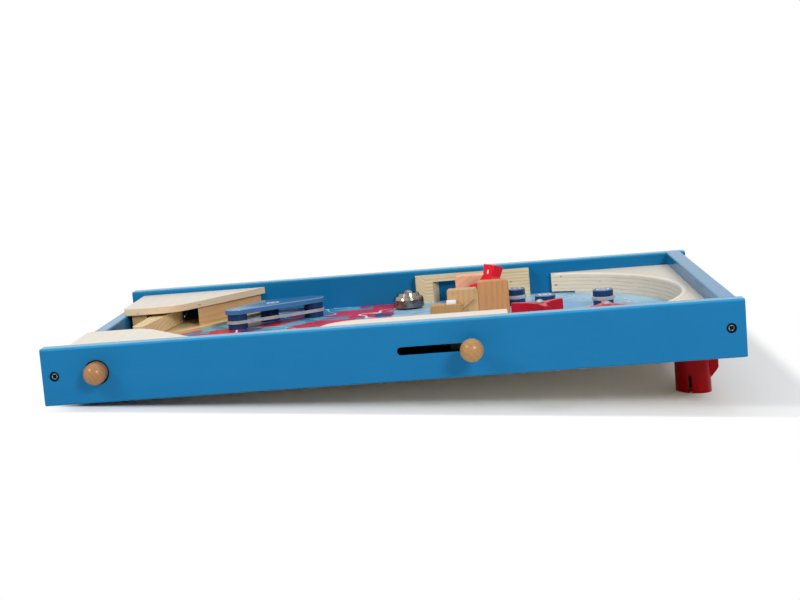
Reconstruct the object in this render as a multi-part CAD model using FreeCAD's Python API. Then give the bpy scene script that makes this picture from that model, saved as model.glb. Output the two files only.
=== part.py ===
import FreeCAD, Part
import math
import os

from FreeCAD import Placement, Rotation, Vector

# A table-top bagatelle: a wooden tray on two feet, with flippers, a ball launcher and targets.
# Everything is modelled square to the board (X along it, Y across it, Z off it), then stood up
# on its feet at the end. Sizes are in millimetres.

# ---- frame
board_length = 600.0
board_width = 384.0
rail_height = 50.0
side_rail_thickness = 15.0
high_rail_thickness = 15.0
low_rail_thickness = 12.0
end_rail_setback = 5.0
rail_edge_radius = 1.5
tilt_degrees = 4.61

# ---- playfield panel, held in a groove all round
field_underside = 12.0
field_thickness = 4.0
groove_depth = 5.0
groove_clearance = 0.2

# ---- rail screws
screw_height = 25.5
screw_head_radius = 3.8
screw_head_thickness = 2.4
screw_shank_radius = 2.0
screw_length = 42.0
screw_recess_radius = 4.4
screw_recess_depth = 4.0
screw_hole_clearance = 0.05
screw_socket_size = 3.2
screw_socket_depth = 1.4

# ---- feet
foot_radius = 16.1
foot_wall = 2.5
foot_top_wall = 4.0
foot_from_high = 14.0
foot_from_rail = 85.0
foot_slot_width = 2.6
foot_slot_height = 16.0
foot_slot_turn_degrees = -17.0
foot_fin_reach = 7.2
foot_fin_thickness = 8.0
foot_fin_edge_radius = 2.5
foot_fin_straight = 25.0
foot_fin_slope = 8.5
batten_width = 34.0
batten_thickness = 12.0
foot_screw_radius = 2.0
foot_screw_head_radius = 4.0
foot_screw_head_thickness = 2.4
foot_screw_bite = 9.0

# ---- plywood covers, all at one height
cover_top = 45.0
cover_thickness = 7.0
cover_edge_radius = 0.8

# ---- flipper modules; depths are measured inwards from the side rail's inner face
cover_start_x = 13.0
cover_depth = 104.5
cover_corner_x = 68.0
cover_end_x = 145.8
cover_low_corner_radius = 8.0
cover_bend_radius = 35.0
base_thickness = 3.0
base_lip = 8.0
spacer_inset = 4.0
spacer_thickness = 12.0
spacer_start_x = 85.0
end_block_start_x = 21.0
end_block_width = 15.0
end_block_depth = 76.0
end_block_length = 24.0

# ---- flippers, each the hull of three rounds: pivot, tip and the nub that its button pushes
pivot_x = 56.5
pivot_depth = 49.0
pivot_round = 6.5
flipper_tip_x = 41.5
flipper_tip_from_middle = 14.0
flipper_tip_round = 6.3
nub_depth = 43.0
nub_round = 5.0
flipper_lift = 1.0
flipper_height = 15.0
pin_radius = 2.5
pin_running_clearance = 0.08
pin_bite = 4.0
pin_collar_radius = 5.0
pin_collar_thickness = 0.7

# ---- flipper buttons
button_x = 47.8
button_height = 26.5
button_hole_radius = 11.0
button_radius = 9.75
button_reach = 16.0
button_dome_height = 8.0
button_travel = 6.0
button_shank_radius = 4.0
button_tip_chamfer = 2.0
button_push_gap = 0.3
button_stop_width = 26.0
button_stop_height = 16.5
button_stop_thickness = 4.0
button_stop_gap = 0.2
button_notch_clearance = 1.25
guide_block_width = 24.0
guide_block_depth = 23.0
guide_block_thickness = 8.0
shank_running_clearance = 0.1
button_spring_radius = 5.4
button_spring_wire = 0.5
button_spring_turns = 5

# ---- ball launcher beside the near rail; from here on, a place "from high" or "from far" is measured
# back from the inner face of the high end rail, or in from the inner face of the far rail
lane_start_from_high = 344.0
lane_end_from_high = 177.5
lane_cover_depth = 59.0
lane_corner_radius = 35.0
lane_width = 24.0
lane_wall_inset = 3.0
slot_start_from_high = 273.8
slot_end_from_high = 206.8
slot_width = 7.0
plunger_height = 26.0
plunger_from_high = 210.4
knob_radius = 10.0
knob_reach = 20.0
knob_bore_depth = 7.0
stem_radius = 3.2
stem_bore_depth = 12.0
slider_length = 37.0
slider_clearance = 0.5
slider_height = 19.0
slider_edge_radius = 1.0
spigot_length = 6.0
spigot_radius = 4.2
end_block_thickness = 17.0
plunger_spring_radius = 5.6
plunger_spring_wire = 0.6
plunger_spring_turns = 11

# ---- arch at the high end: part of an ellipse, then a tangent arc down to the near rail
arch_thickness = 21.0
arch_centre_from_high = 153.1
arch_half_length = 143.9
arch_half_width = 169.2
arch_join_drop = 97.5
arch_near_end_from_high = 134.41
arch_near_end_thickness = 1.5
arch_far_end_from_high = 124.5
arch_far_end_thickness = 6.3
arch_far_end_drop = 4.0
arch_edge_radius = 2.0
arch_relief_length = 24.0
arch_relief_height = 1.5

# ---- pine bridge on the far rail
bridge_start_from_high = 270.0
bridge_length = 122.0
bridge_thickness = 12.0
bridge_top = 44.8
bridge_beam = 6.5
bridge_window_start = 18.5
bridge_window_end = 85.0
bridge_window_slant = 6.0
bridge_corner_radius = 1.5

# ---- upright plates
plate_thickness = 12.0
plate_corner_radius = 3.0
plate_edge_radius = 0.8
step_front_from_far = 131.0
low_step_from_high = 251.5
low_step_width = 31.3
low_step_top = 31.0
mid_step_from_high = 234.3
mid_step_width = 31.0
mid_step_top = 43.7
tall_step_width = 30.7
tall_step_top = 50.0
back_block_from_high = 226.5
back_block_front_from_far = 49.0
back_block_width = 32.5
back_block_top = 47.0
peg_radius = 1.3
peg_bite = 3.0
peg_low_height = 25.0
peg_reach = 12.0
peg_high_height = 33.5
peg_gap = 0.1

# ---- bell
bell_from_high = 277.2
bell_from_far = 41.0
bell_radius = 16.0
bell_wall = 1.2
bell_lift = 2.0
bell_side_height = 8.0
bell_shoulder = 3.3
bell_step_radius = 12.2
bell_step_height = 3.5
bell_post_radius = 4.0
bell_screw_radius = 1.5
bell_screw_head_radius = 4.6
bell_screw_head_height = 2.6
bell_screw_bite = 8.0

# ---- bumpers and bands: bumpers from high and from far, the triangle's posts from the cover's end and from far
bumper_radius = 10.2
bumper_groove_depth = 1.0
bumper_base_height = 6.5
bumper_groove_height = 4.0
bumper_cap_height = 6.5
post_edge_radius = 1.0
band_stand_out = 1.1
band_play = 0.1
bumper_places = [(165.3, 73.0), (137.2, 135.0), (79.5, 126.0)]
triangle_places = [(-16.6, 99.0), (56.9, 51.3), (11.1, 57.0)]
triangle_post_radius = 10.0
triangle_groove_depth = 0.7
triangle_base_height = 5.8
triangle_groove_height = 3.4
triangle_cap_height = 6.5
triangle_plate_thickness = 5.0
triangle_overhang = 2.0
triangle_stand_out = 1.3

# ---- flat spinners, each placed from high and from far
spinner_radius = 28.2
spinner_tip_width = 4.0
spinner_kink_reach = 10.6
spinner_kink_half_width = 3.75
spinner_thickness = 16.0
spinner_lift = 2.0
spinner_middle_place = (144.9, 193.3)
spinner_middle_degrees = 40.0
spinner_high_place = (84.8, 236.0)
spinner_high_degrees = 92.0
rotor_edge_radius = 0.8
rotor_pin_radius = 2.5
rotor_pin_clearance = 0.1
rotor_head_radius = 4.2
rotor_head_height = 2.6
rotor_end_play = 0.3
washer_radius = 6.0

# ---- star wheel, upright on a post that leans back
star_from_high = 191.0
star_from_far = 89.0
star_z = 40.2
star_radius = 20.5
star_tip_width = 15.4
star_kink_reach = 9.5
star_kink_half_width = 5.8
star_thickness = 13.6
star_yaw_degrees = 40.0
star_lean_back_degrees = 18.0
star_turn_degrees = 5.0
star_post_width = 12.0
star_post_thickness = 12.0
star_post_gap = 2.0
star_post_rise = 9.0
star_screw_bite = 10.0

# ---- sizes that follow from the ones above
tilt = math.radians(tilt_degrees)
field_top = field_underside + field_thickness
cover_underside = cover_top - cover_thickness
near_face = side_rail_thickness
far_face = board_width - side_rail_thickness
high_face = board_length - end_rail_setback - high_rail_thickness
low_face = end_rail_setback + low_rail_thickness
middle_y = board_width / 2
base_top = field_top + base_thickness
pivot_y = near_face + pivot_depth
flipper_tip_y = middle_y - flipper_tip_from_middle
button_start_y = near_face + button_stop_gap
button_end_y = near_face + nub_depth - nub_round - button_push_gap
lane_start_x = high_face - lane_start_from_high
lane_end_x = high_face - lane_end_from_high
slot_start_x = high_face - slot_start_from_high
slot_end_x = high_face - slot_end_from_high
plunger_x = high_face - plunger_from_high
lane_middle_y = near_face + lane_width / 2
lane_block_end_x = lane_start_x + lane_wall_inset + end_block_thickness
slider_start_x = plunger_x - slider_length / 2
arch_far_end_x = high_face - arch_far_end_from_high
arch_far_end_y = far_face - arch_far_end_thickness
arch_centre_x = high_face - arch_centre_from_high
arch_centre_y = arch_far_end_y + arch_far_end_drop - arch_half_width
arch_near_end_x = high_face - arch_near_end_from_high
arch_near_end_y = near_face + arch_near_end_thickness
bridge_start_x = high_face - bridge_start_from_high
step_front_y = far_face - step_front_from_far
low_step_x = high_face - low_step_from_high
mid_step_x = high_face - mid_step_from_high
back_block_x = high_face - back_block_from_high
back_block_front_y = far_face - back_block_front_from_far
bell_x = high_face - bell_from_high
bell_y = far_face - bell_from_far
bumper_centres = [(high_face - x, far_face - y) for x, y in bumper_places]
triangle_centres = [(cover_end_x + x, far_face - y) for x, y in triangle_places]
spinner_middle_centre = (high_face - spinner_middle_place[0], far_face - spinner_middle_place[1])
spinner_high_centre = (high_face - spinner_high_place[0], far_face - spinner_high_place[1])
star_x = high_face - star_from_high
star_y = far_face - star_from_far
batten_underside = field_underside - groove_clearance - batten_thickness
foot_centre_x = high_face - foot_from_high
foot_y = near_face + foot_from_rail
corner_gap = rail_edge_radius * (math.sin(tilt) + math.cos(tilt) - 1)
along_x = Vector(1, 0, 0)
along_y = Vector(0, 1, 0)
along_z = Vector(0, 0, 1)
fine = 0.01


def box(x0, x1, y0, y1, z0, z1):
    return Part.makeBox(x1 - x0, y1 - y0, z1 - z0, Vector(x0, y0, z0))


def rod(radius, start, end):
    start = Vector(*start)
    along = Vector(*end) - start
    return Part.makeCylinder(radius, along.Length, start, along)


def mirrored(shape):
    return shape.mirror(Vector(0, middle_y, 0), along_y)


def group(shapes):
    return Part.makeCompound(shapes)


# A flat outline from (x, y, corner radius) points, each corner with a radius rounded by an arc.
def outline(corners, z):
    count = len(corners)
    ends = []
    edges = []
    for i, (x, y, radius) in enumerate(corners):
        here = Vector(x, y, z)
        if radius <= 0:
            ends.append((here, here))
            continue
        before = Vector(corners[i - 1][0], corners[i - 1][1], z) - here
        after = Vector(corners[(i + 1) % count][0], corners[(i + 1) % count][1], z) - here
        half = before.getAngle(after) / 2
        before.normalize()
        after.normalize()
        bisector = before + after
        bisector.normalize()
        first = here + before * (radius / math.tan(half))
        last = here + after * (radius / math.tan(half))
        middle = here + bisector * (radius / math.sin(half) - radius)
        edges.append(Part.Arc(first, middle, last).toShape())
        ends.append((first, last))
    for i in range(count):
        start = ends[i][1]
        end = ends[(i + 1) % count][0]
        if start.distanceToPoint(end) > fine:
            edges.append(Part.makeLine(start, end))
    return Part.Wire(Part.__sortEdges__(edges))


def slab(corners, z0, z1):
    return Part.Face(outline(corners, z0)).extrude(Vector(0, 0, z1 - z0))


# The hull of circles (x, y, radius) listed counterclockwise, as a solid from z0 to z1.
def hull(circles, z0, z1):
    count = len(circles)
    normals = []
    for i, (x, y, radius) in enumerate(circles):
        next_x, next_y, next_radius = circles[(i + 1) % count]
        run = math.hypot(next_x - x, next_y - y)
        heading = math.atan2(next_y - y, next_x - x)
        normals.append(heading - math.pi / 2 + math.asin((radius - next_radius) / run))
    edges = []
    for i, (x, y, radius) in enumerate(circles):
        start = normals[i - 1]
        sweep = (normals[i] - start) % (2 * math.pi)
        centre = Vector(x, y, z0)
        points = [centre + Vector(math.cos(a), math.sin(a), 0) * radius
                  for a in (start, start + sweep / 2, start + sweep)]
        edges.append(Part.Arc(*points).toShape())
        next_x, next_y, next_radius = circles[(i + 1) % count]
        out = Vector(math.cos(normals[i]), math.sin(normals[i]), 0)
        edges.append(Part.makeLine(points[2], Vector(next_x, next_y, z0) + out * next_radius))
    return Part.Face(Part.Wire(edges)).extrude(Vector(0, 0, z1 - z0))


def edges_in_plane(shape, z):
    return [e for e in shape.Edges if abs(e.BoundBox.ZMin - z) < fine and abs(e.BoundBox.ZMax - z) < fine]


def rounded_at(shape, z, radius):
    return shape.makeFillet(radius, edges_in_plane(shape, z))


# A solid turned about a line parallel to Z from (radius, height) points.
def turned(profile, x, y):
    points = [Vector(x + r, y, z) for r, z in profile]
    face = Part.Face(Part.makePolygon(points + [points[0]]))
    return face.revolve(Vector(x, y, 0), along_z, 360)


def coil(radius, wire, turns, start, end):
    start = Vector(*start)
    along = Vector(*end) - start
    length = along.Length - 2 * wire
    helix = Part.makeHelix(length / turns, length, radius)
    ring = Part.Wire(Part.makeCircle(wire, Vector(radius, 0, 0), along_y))
    spring = Part.Wire(helix).makePipeShell([ring], True, True)
    along.normalize()
    spring.Placement = Placement(start + along * wire, Rotation(along_z, along))
    return spring


def round_head(radius, height, z):
    ball_radius = (radius ** 2 + height ** 2) / (2 * height)
    ball = Part.makeSphere(ball_radius, Vector(0, 0, z + height - ball_radius))
    return ball.common(rod(radius, (0, 0, z), (0, 0, z + height)))


# ---- frame

def frame_screw_xs():
    return [end_rail_setback + low_rail_thickness / 2, high_face + high_rail_thickness / 2]


def frame_screw(x):
    seat = screw_recess_depth
    head = rod(screw_head_radius, (x, seat - screw_head_thickness, screw_height), (x, seat, screw_height))
    half = screw_socket_size / 2
    socket = box(x - half, x + half, seat - screw_head_thickness, seat - screw_head_thickness + screw_socket_depth,
                 screw_height - half, screw_height + half)
    shank = rod(screw_shank_radius, (x, seat, screw_height), (x, seat + screw_length, screw_height))
    return head.cut(socket).fuse(shank)


def frame_screw_hole(x):
    reach = screw_recess_depth + screw_length + screw_hole_clearance
    hole = rod(screw_shank_radius + screw_hole_clearance, (x, 0, screw_height), (x, reach, screw_height))
    return hole.fuse(rod(screw_recess_radius, (x, 0, screw_height), (x, screw_recess_depth, screw_height)))


def side_rail():
    rail = box(0, board_length, 0, side_rail_thickness, 0, rail_height)
    rail = rail.makeFillet(rail_edge_radius, rail.Edges)
    rail = rail.cut(box(low_face - groove_depth, high_face + groove_depth, near_face - groove_depth, near_face,
                        field_underside - groove_clearance, field_top))
    rail = rail.cut(rod(button_hole_radius, (button_x, 0, button_height), (button_x, near_face, button_height)))
    return rail.cut([frame_screw_hole(x) for x in frame_screw_xs()])


def plunger_slot():
    half = slot_width / 2
    x0 = slot_start_x + half
    x1 = slot_end_x - half
    ends = [rod(half, (x, 0, plunger_height), (x, near_face, plunger_height)) for x in (x0, x1)]
    return box(x0, x1, 0, near_face, plunger_height - half, plunger_height + half).fuse(ends)


def end_rail(start_x, thickness, height, groove_x0, groove_x1):
    rail = box(start_x, start_x + thickness, near_face, far_face, 0, height)
    rail = rail.makeFillet(rail_edge_radius, [e for e in rail.Edges if e.BoundBox.YLength > rail_height])
    rail = rail.cut(box(groove_x0, groove_x1, near_face, far_face, field_underside - groove_clearance, field_top))
    hole = frame_screw_hole(start_x + thickness / 2)
    return rail.cut([hole, mirrored(hole)])


def playfield():
    play = groove_clearance
    panel = box(low_face - groove_depth + play, high_face + groove_depth - play, near_face - groove_depth + play,
                far_face + groove_depth - play, field_underside, field_top)
    holes = [rod(rotor_pin_radius, (x, y, field_underside), (x, y, field_top))
             for x, y in (spinner_middle_centre, spinner_high_centre)]
    return panel.cut(holes)


# ---- feet

def foot_batten():
    bar = box(high_face - batten_width, high_face, near_face, far_face,
              batten_underside, batten_underside + batten_thickness)
    radius = foot_screw_radius + screw_hole_clearance
    hole = rod(radius, (foot_centre_x, foot_y, batten_underside),
               (foot_centre_x, foot_y, batten_underside + foot_screw_bite + screw_hole_clearance))
    return bar.cut([hole, mirrored(hole)])


def floor_height():
    return (corner_gap - foot_centre_x * math.sin(tilt)) / math.cos(tilt)


def floor_block():
    floor = box(-board_length, 2 * board_length, -board_width, 2 * board_width, -board_length, corner_gap)
    floor.rotate(Vector(0, 0, 0), along_y, tilt_degrees)
    return floor


def foot_fin(top):
    edge = foot_radius + foot_fin_reach
    low = top - foot_fin_straight
    points = [Vector(0, 0, top), Vector(edge, 0, top), Vector(edge, 0, low),
              Vector(foot_radius, 0, low - foot_fin_slope), Vector(0, 0, low - foot_fin_slope)]
    fin = Part.Face(Part.makePolygon(points + [points[0]])).extrude(Vector(0, foot_fin_thickness, 0))
    fin = fin.makeFillet(foot_fin_edge_radius, [e for e in fin.Edges if e.BoundBox.XMin > edge - fine
                                                and e.BoundBox.YLength < fine])
    fin.translate(Vector(0, -foot_fin_thickness / 2, 0))
    return fin


def foot():
    top = batten_underside
    low = floor_height() - foot_radius
    body = rod(foot_radius, (0, 0, low), (0, 0, top)).fuse(foot_fin(top))
    hollow = rod(foot_radius - foot_wall, (0, 0, low), (0, 0, top - foot_top_wall))
    half = foot_slot_width / 2
    slot = box(-half, half, -foot_radius, foot_radius, low, floor_height() + foot_slot_height)
    slot.rotate(Vector(0, 0, 0), along_z, foot_slot_turn_degrees)
    hole = rod(foot_screw_radius + screw_hole_clearance, (0, 0, low), (0, 0, top))
    body = body.cut([hollow, slot, hole])
    body.translate(Vector(foot_centre_x, foot_y, 0))
    return body.cut(floor_block())


def foot_screw():
    seat = batten_underside - foot_top_wall
    head = rod(foot_screw_head_radius, (0, 0, seat - foot_screw_head_thickness), (0, 0, seat))
    head = rounded_at(head, seat - foot_screw_head_thickness, foot_screw_head_thickness / 2)
    screw = head.fuse(rod(foot_screw_radius, (0, 0, seat), (0, 0, batten_underside + foot_screw_bite)))
    screw.translate(Vector(foot_centre_x, foot_y, 0))
    return screw


# ---- flipper module, built beside the near rail and mirrored for the far one

def module_corners(lip, start_x):
    shift = lip * math.hypot(cover_end_x - cover_corner_x, cover_depth) / cover_depth
    inner_y = near_face + cover_depth + lip
    slope = (cover_end_x - cover_corner_x) / cover_depth
    corner_x = cover_corner_x + shift - lip * slope
    return [
        (start_x, near_face, 0),
        (cover_end_x + shift, near_face, 0),
        (corner_x, inner_y, cover_bend_radius),
        (start_x, inner_y, cover_low_corner_radius),
    ]


def pin_hole():
    return rod(pin_radius, (pivot_x, pivot_y, field_top), (pivot_x, pivot_y, cover_underside + pin_bite))


def flipper_pin():
    collar = rod(pin_collar_radius, (pivot_x, pivot_y, base_top), (pivot_x, pivot_y, base_top + pin_collar_thickness))
    return pin_hole().fuse(collar)


def flipper_cover():
    cover = slab(module_corners(0, cover_start_x), cover_underside, cover_top)
    return rounded_at(cover, cover_top, cover_edge_radius).cut(pin_hole())


def flipper_base():
    plate = slab(module_corners(base_lip, low_face), field_top, base_top)
    half = button_radius + button_notch_clearance
    end = button_start_y + button_travel + button_notch_clearance
    notch = box(button_x - half, button_x + half, near_face, end, field_top, base_top)
    return plate.cut([notch, pin_hole()])


def flipper_spacer():
    slope = (cover_end_x - cover_corner_x) / cover_depth
    stretch = math.hypot(slope, 1)
    front_x = cover_end_x - spacer_inset * stretch
    back_x = front_x - spacer_thickness * stretch
    corners = [
        (spacer_start_x, near_face + (front_x - spacer_start_x) / slope, 0),
        (spacer_start_x, near_face + (back_x - spacer_start_x) / slope, 0),
        (back_x, near_face, 0),
        (front_x, near_face, 0),
    ]
    return slab(corners, base_top, cover_underside)


def flipper_end_block():
    y0 = near_face + end_block_depth
    return box(end_block_start_x, end_block_start_x + end_block_width, y0, y0 + end_block_length,
               base_top, cover_underside)


def flipper_lever():
    low = base_top + flipper_lift
    rounds = [
        (button_x, near_face + nub_depth, nub_round),
        (pivot_x, pivot_y, pivot_round),
        (flipper_tip_x, flipper_tip_y, flipper_tip_round),
    ]
    lever = hull(rounds, low, low + flipper_height)
    bore = rod(pin_radius + pin_running_clearance, (pivot_x, pivot_y, low), (pivot_x, pivot_y, low + flipper_height))
    return lever.cut(bore)


# ---- flipper button: a domed head and its shank, turned in one piece

def button():
    low = -button_reach
    shoulder = low + button_dome_height
    dome_radius = (button_radius ** 2 + button_dome_height ** 2) / (2 * button_dome_height)
    dome = Part.makeSphere(dome_radius, Vector(0, 0, low + dome_radius))
    dome = dome.common(rod(button_radius, (0, 0, low), (0, 0, shoulder)))
    tip = button_end_y - button_tip_chamfer
    shank = Part.makeCone(button_shank_radius, button_shank_radius - button_tip_chamfer, button_tip_chamfer,
                          Vector(0, 0, tip))
    body = dome.fuse([rod(button_radius, (0, 0, shoulder), (0, 0, button_start_y)),
                      rod(button_shank_radius, (0, 0, button_start_y), (0, 0, tip)), shank]).removeSplitter()
    body.Placement = Placement(Vector(button_x, 0, button_height), Rotation(along_z, along_y))
    return body


def shank_hole(clearance):
    return rod(button_shank_radius + clearance, (button_x, 0, button_height), (button_x, button_end_y, button_height))


def button_stop():
    half = button_stop_width / 2
    low = base_top + flipper_lift
    plate = box(button_x - half, button_x + half, button_start_y, button_start_y + button_stop_thickness,
                low, low + button_stop_height)
    return plate.cut(shank_hole(0))


def button_guide():
    half = guide_block_width / 2
    y0 = near_face + guide_block_depth
    block = box(button_x - half, button_x + half, y0, y0 + guide_block_thickness, base_top, cover_underside)
    return block.cut(shank_hole(shank_running_clearance))


def button_spring():
    start = button_start_y + button_stop_thickness
    return coil(button_spring_radius, button_spring_wire, button_spring_turns,
                (button_x, start, button_height), (button_x, near_face + guide_block_depth, button_height))


# ---- ball launcher

def lane_corners(inset):
    inner_y = near_face + lane_cover_depth - inset
    return [
        (lane_start_x + inset, near_face, 0),
        (lane_end_x, near_face, 0),
        (lane_end_x, inner_y, 0),
        (lane_start_x + inset, inner_y, lane_corner_radius),
    ]


def lane_cover():
    return rounded_at(slab(lane_corners(0), cover_underside, cover_top), cover_top, cover_edge_radius)


def lane_wall():
    block = slab(lane_corners(lane_wall_inset), field_top, cover_underside)
    return block.cut(box(0, board_length, 0, near_face + lane_width, 0, rail_height))


def spigot(start_x):
    return rod(spigot_radius, (start_x, lane_middle_y, plunger_height),
               (start_x + spigot_length, lane_middle_y, plunger_height))


def plunger_end_block():
    block = box(lane_start_x + lane_wall_inset, lane_block_end_x, near_face, near_face + lane_width,
                field_top, cover_underside)
    return block.fuse(spigot(lane_block_end_x))


def plunger_slider():
    low = field_top + slider_clearance
    y0 = near_face + slider_clearance
    y1 = near_face + lane_width - slider_clearance
    block = box(slider_start_x, slider_start_x + slider_length, y0, y1, low, low + slider_height)
    block = block.makeFillet(slider_edge_radius, [e for e in block.Edges if e.BoundBox.XLength < fine])
    return block.fuse(spigot(slider_start_x - spigot_length)).cut(plunger_stem())


def plunger_stem():
    start = -knob_reach + knob_radius - knob_bore_depth
    end = near_face + slider_clearance + stem_bore_depth
    return rod(stem_radius, (plunger_x, start, plunger_height), (plunger_x, end, plunger_height))


def plunger_knob():
    return Part.makeSphere(knob_radius, Vector(plunger_x, -knob_reach, plunger_height)).cut(plunger_stem())


def plunger_spring():
    return coil(plunger_spring_radius, plunger_spring_wire, plunger_spring_turns,
                (lane_block_end_x, lane_middle_y, plunger_height), (slider_start_x, lane_middle_y, plunger_height))


# ---- arch

def arch_block():
    centre = Vector(arch_centre_x, arch_centre_y, field_top)
    tall = Vector(0, arch_half_width, 0)
    wide = Vector(-arch_half_length, 0, 0)
    ellipse = Part.Ellipse(centre + tall, centre + wide, centre)
    far_y = arch_far_end_y
    join = -math.acos(-arch_join_drop / arch_half_width)
    leave = -math.acos((far_y - arch_centre_y) / arch_half_width)
    curve = Part.ArcOfEllipse(ellipse, join, leave).toShape()
    start = centre + tall * math.cos(join) + wide * math.sin(join)
    out = Vector(-math.sin(join) / arch_half_length, math.cos(join) / arch_half_width, 0)
    out.normalize()
    near = Vector(arch_near_end_x, arch_near_end_y, field_top)
    chord = near - start
    near_radius = -chord.Length ** 2 / (2 * chord.dot(out))
    pivot = start - out * near_radius
    halfway = near - pivot + start - pivot
    halfway.normalize()
    lead_in = Part.Arc(near, pivot + halfway * near_radius, start).toShape()
    end = centre + tall * math.cos(leave) + wide * math.sin(leave)
    points = [end, Vector(arch_far_end_x, far_y, field_top), Vector(arch_far_end_x, far_face, field_top),
              Vector(high_face, far_face, field_top), Vector(high_face, near_face, field_top),
              Vector(near.x, near_face, field_top), near]
    edges = [lead_in, curve] + Part.makePolygon(points).Edges
    block = Part.Face(Part.Wire(Part.__sortEdges__(edges))).extrude(Vector(0, 0, arch_thickness))
    top = field_top + arch_thickness
    rim = [e for e in edges_in_plane(block, top) if e.Curve.TypeId != "Part::GeomLine"]
    block = block.makeFillet(arch_edge_radius, rim)
    return block.cut(box(arch_far_end_x, arch_far_end_x + arch_relief_length, far_y - arch_thickness, far_face,
                         field_top, field_top + arch_relief_height))


# ---- bridge and upright plates

def bridge_block():
    x0 = bridge_start_x
    y0 = far_face - bridge_thickness
    block = box(x0, x0 + bridge_length, y0, far_face, field_top, bridge_top)
    upright = [e for e in block.Edges if e.BoundBox.ZLength > fine and e.BoundBox.YMax < far_face]
    block = block.makeFillet(bridge_corner_radius, upright)
    left = x0 + bridge_window_start
    right = x0 + bridge_window_end
    window = slab([(left, y0, 0), (right, y0, 0), (right, far_face, 0), (left + bridge_window_slant, far_face, 0)],
                  field_top, bridge_top - bridge_beam)
    return block.cut(window)


def upright_plate(x, y, width, top):
    plate = box(x, x + width, y, y + plate_thickness, field_top, top)
    shoulders = [e for e in plate.Edges if e.BoundBox.YLength > fine and e.BoundBox.ZMin > top - fine]
    plate = plate.makeFillet(plate_corner_radius, shoulders)
    front = [e for e in plate.Edges if e.BoundBox.YMax < y + fine and e.BoundBox.ZMax > field_top + fine]
    return plate.makeFillet(plate_edge_radius, front)


# A dowel that slants up out of the low plate's side, just in front of the middle plate.
def step_peg():
    y = step_front_y - peg_radius - peg_gap
    side_x = low_step_x + low_step_width
    slope = (peg_high_height - peg_low_height) / peg_reach
    start = (side_x - peg_bite, y, peg_low_height - peg_bite * slope)
    return rod(peg_radius, start, (side_x + peg_reach, y, peg_high_height))


def step_low():
    return upright_plate(low_step_x, step_front_y - plate_thickness, low_step_width, low_step_top).cut(step_peg())


def step_mid():
    return upright_plate(mid_step_x, step_front_y, mid_step_width, mid_step_top)


def step_tall():
    return upright_plate(mid_step_x + mid_step_width, step_front_y, tall_step_width, tall_step_top)


def back_block():
    return upright_plate(back_block_x, back_block_front_y, back_block_width, back_block_top)


# ---- bell

def bell_crown():
    return field_top + bell_lift + bell_side_height + bell_shoulder + bell_step_height


def bell_dome():
    low = field_top + bell_lift
    shoulder = low + bell_side_height
    top = shoulder + bell_shoulder
    crown = bell_crown()
    wall = bell_wall
    turn = bell_shoulder * math.sin(math.pi / 4)
    outer = [(bell_radius, low), (bell_radius, shoulder), (bell_radius - bell_shoulder + turn, shoulder + turn),
             (bell_radius - bell_shoulder, top), (bell_step_radius, top), (bell_step_radius - wall, crown),
             (bell_screw_radius, crown)]
    inner = [(bell_screw_radius, crown - wall), (bell_step_radius - 2 * wall, crown - wall),
             (bell_step_radius - wall, top - wall), (bell_radius - bell_shoulder, top - wall),
             (bell_radius - wall, shoulder), (bell_radius - wall, low)]
    return turned(outer + inner, bell_x, bell_y)


def bell_screw():
    crown = bell_crown()
    head = round_head(bell_screw_head_radius, bell_screw_head_height, crown)
    screw = head.fuse(rod(bell_screw_radius, (0, 0, crown - bell_wall - bell_screw_bite), (0, 0, crown)))
    screw.translate(Vector(bell_x, bell_y, 0))
    return screw


def bell_post():
    post = rod(bell_post_radius, (bell_x, bell_y, field_top), (bell_x, bell_y, bell_crown() - bell_wall))
    return post.cut(bell_screw())


# ---- bumpers

def grooved_post(centre, radius, neck, heights):
    base, groove, cap = heights
    levels = [field_top, field_top + base, field_top + base + groove, field_top + base + groove + cap]
    return turned([(0, levels[0]), (radius, levels[0]), (radius, levels[1]), (neck, levels[1]),
                   (neck, levels[2]), (radius, levels[2]), (radius, levels[3]), (0, levels[3])], *centre)


def bumper_post(centre):
    heights = (bumper_base_height, bumper_groove_height, bumper_cap_height)
    post = grooved_post(centre, bumper_radius, bumper_radius - bumper_groove_depth, heights)
    return rounded_at(post, field_top + sum(heights), post_edge_radius)


def bumper_ring(centre):
    low = field_top + bumper_base_height + band_play
    high = field_top + bumper_base_height + bumper_groove_height - band_play
    ring = rod(bumper_radius + band_stand_out, (*centre, low), (*centre, high))
    ring = rounded_at(rounded_at(ring, low, band_stand_out), high, band_stand_out)
    return ring.cut(rod(bumper_radius - bumper_groove_depth + band_play, (*centre, low), (*centre, high)))


def triangle_slab(radius, z0, z1):
    loop = Part.makePolygon([Vector(x, y, z0) for x, y in triangle_centres + triangle_centres[:1]])
    return Part.Face(loop.makeOffset2D(radius)).extrude(Vector(0, 0, z1 - z0))


def triangle_posts():
    heights = (triangle_base_height, triangle_groove_height, triangle_cap_height)
    neck = triangle_post_radius - triangle_groove_depth
    return group([grooved_post(centre, triangle_post_radius, neck, heights) for centre in triangle_centres])


def triangle_plate():
    low = field_top + triangle_base_height + triangle_groove_height + triangle_cap_height
    high = low + triangle_plate_thickness
    return rounded_at(triangle_slab(triangle_post_radius + triangle_overhang, low, high), high, post_edge_radius)


def triangle_band():
    low = field_top + triangle_base_height + band_play
    high = field_top + triangle_base_height + triangle_groove_height - band_play
    outer = triangle_slab(triangle_post_radius + triangle_stand_out, low, high)
    return outer.cut(triangle_slab(triangle_post_radius - triangle_groove_depth + band_play, low, high))


# ---- rotors: three arms with flat ends and flat flanks that meet flat hub faces, modelled with an arm along X

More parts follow.
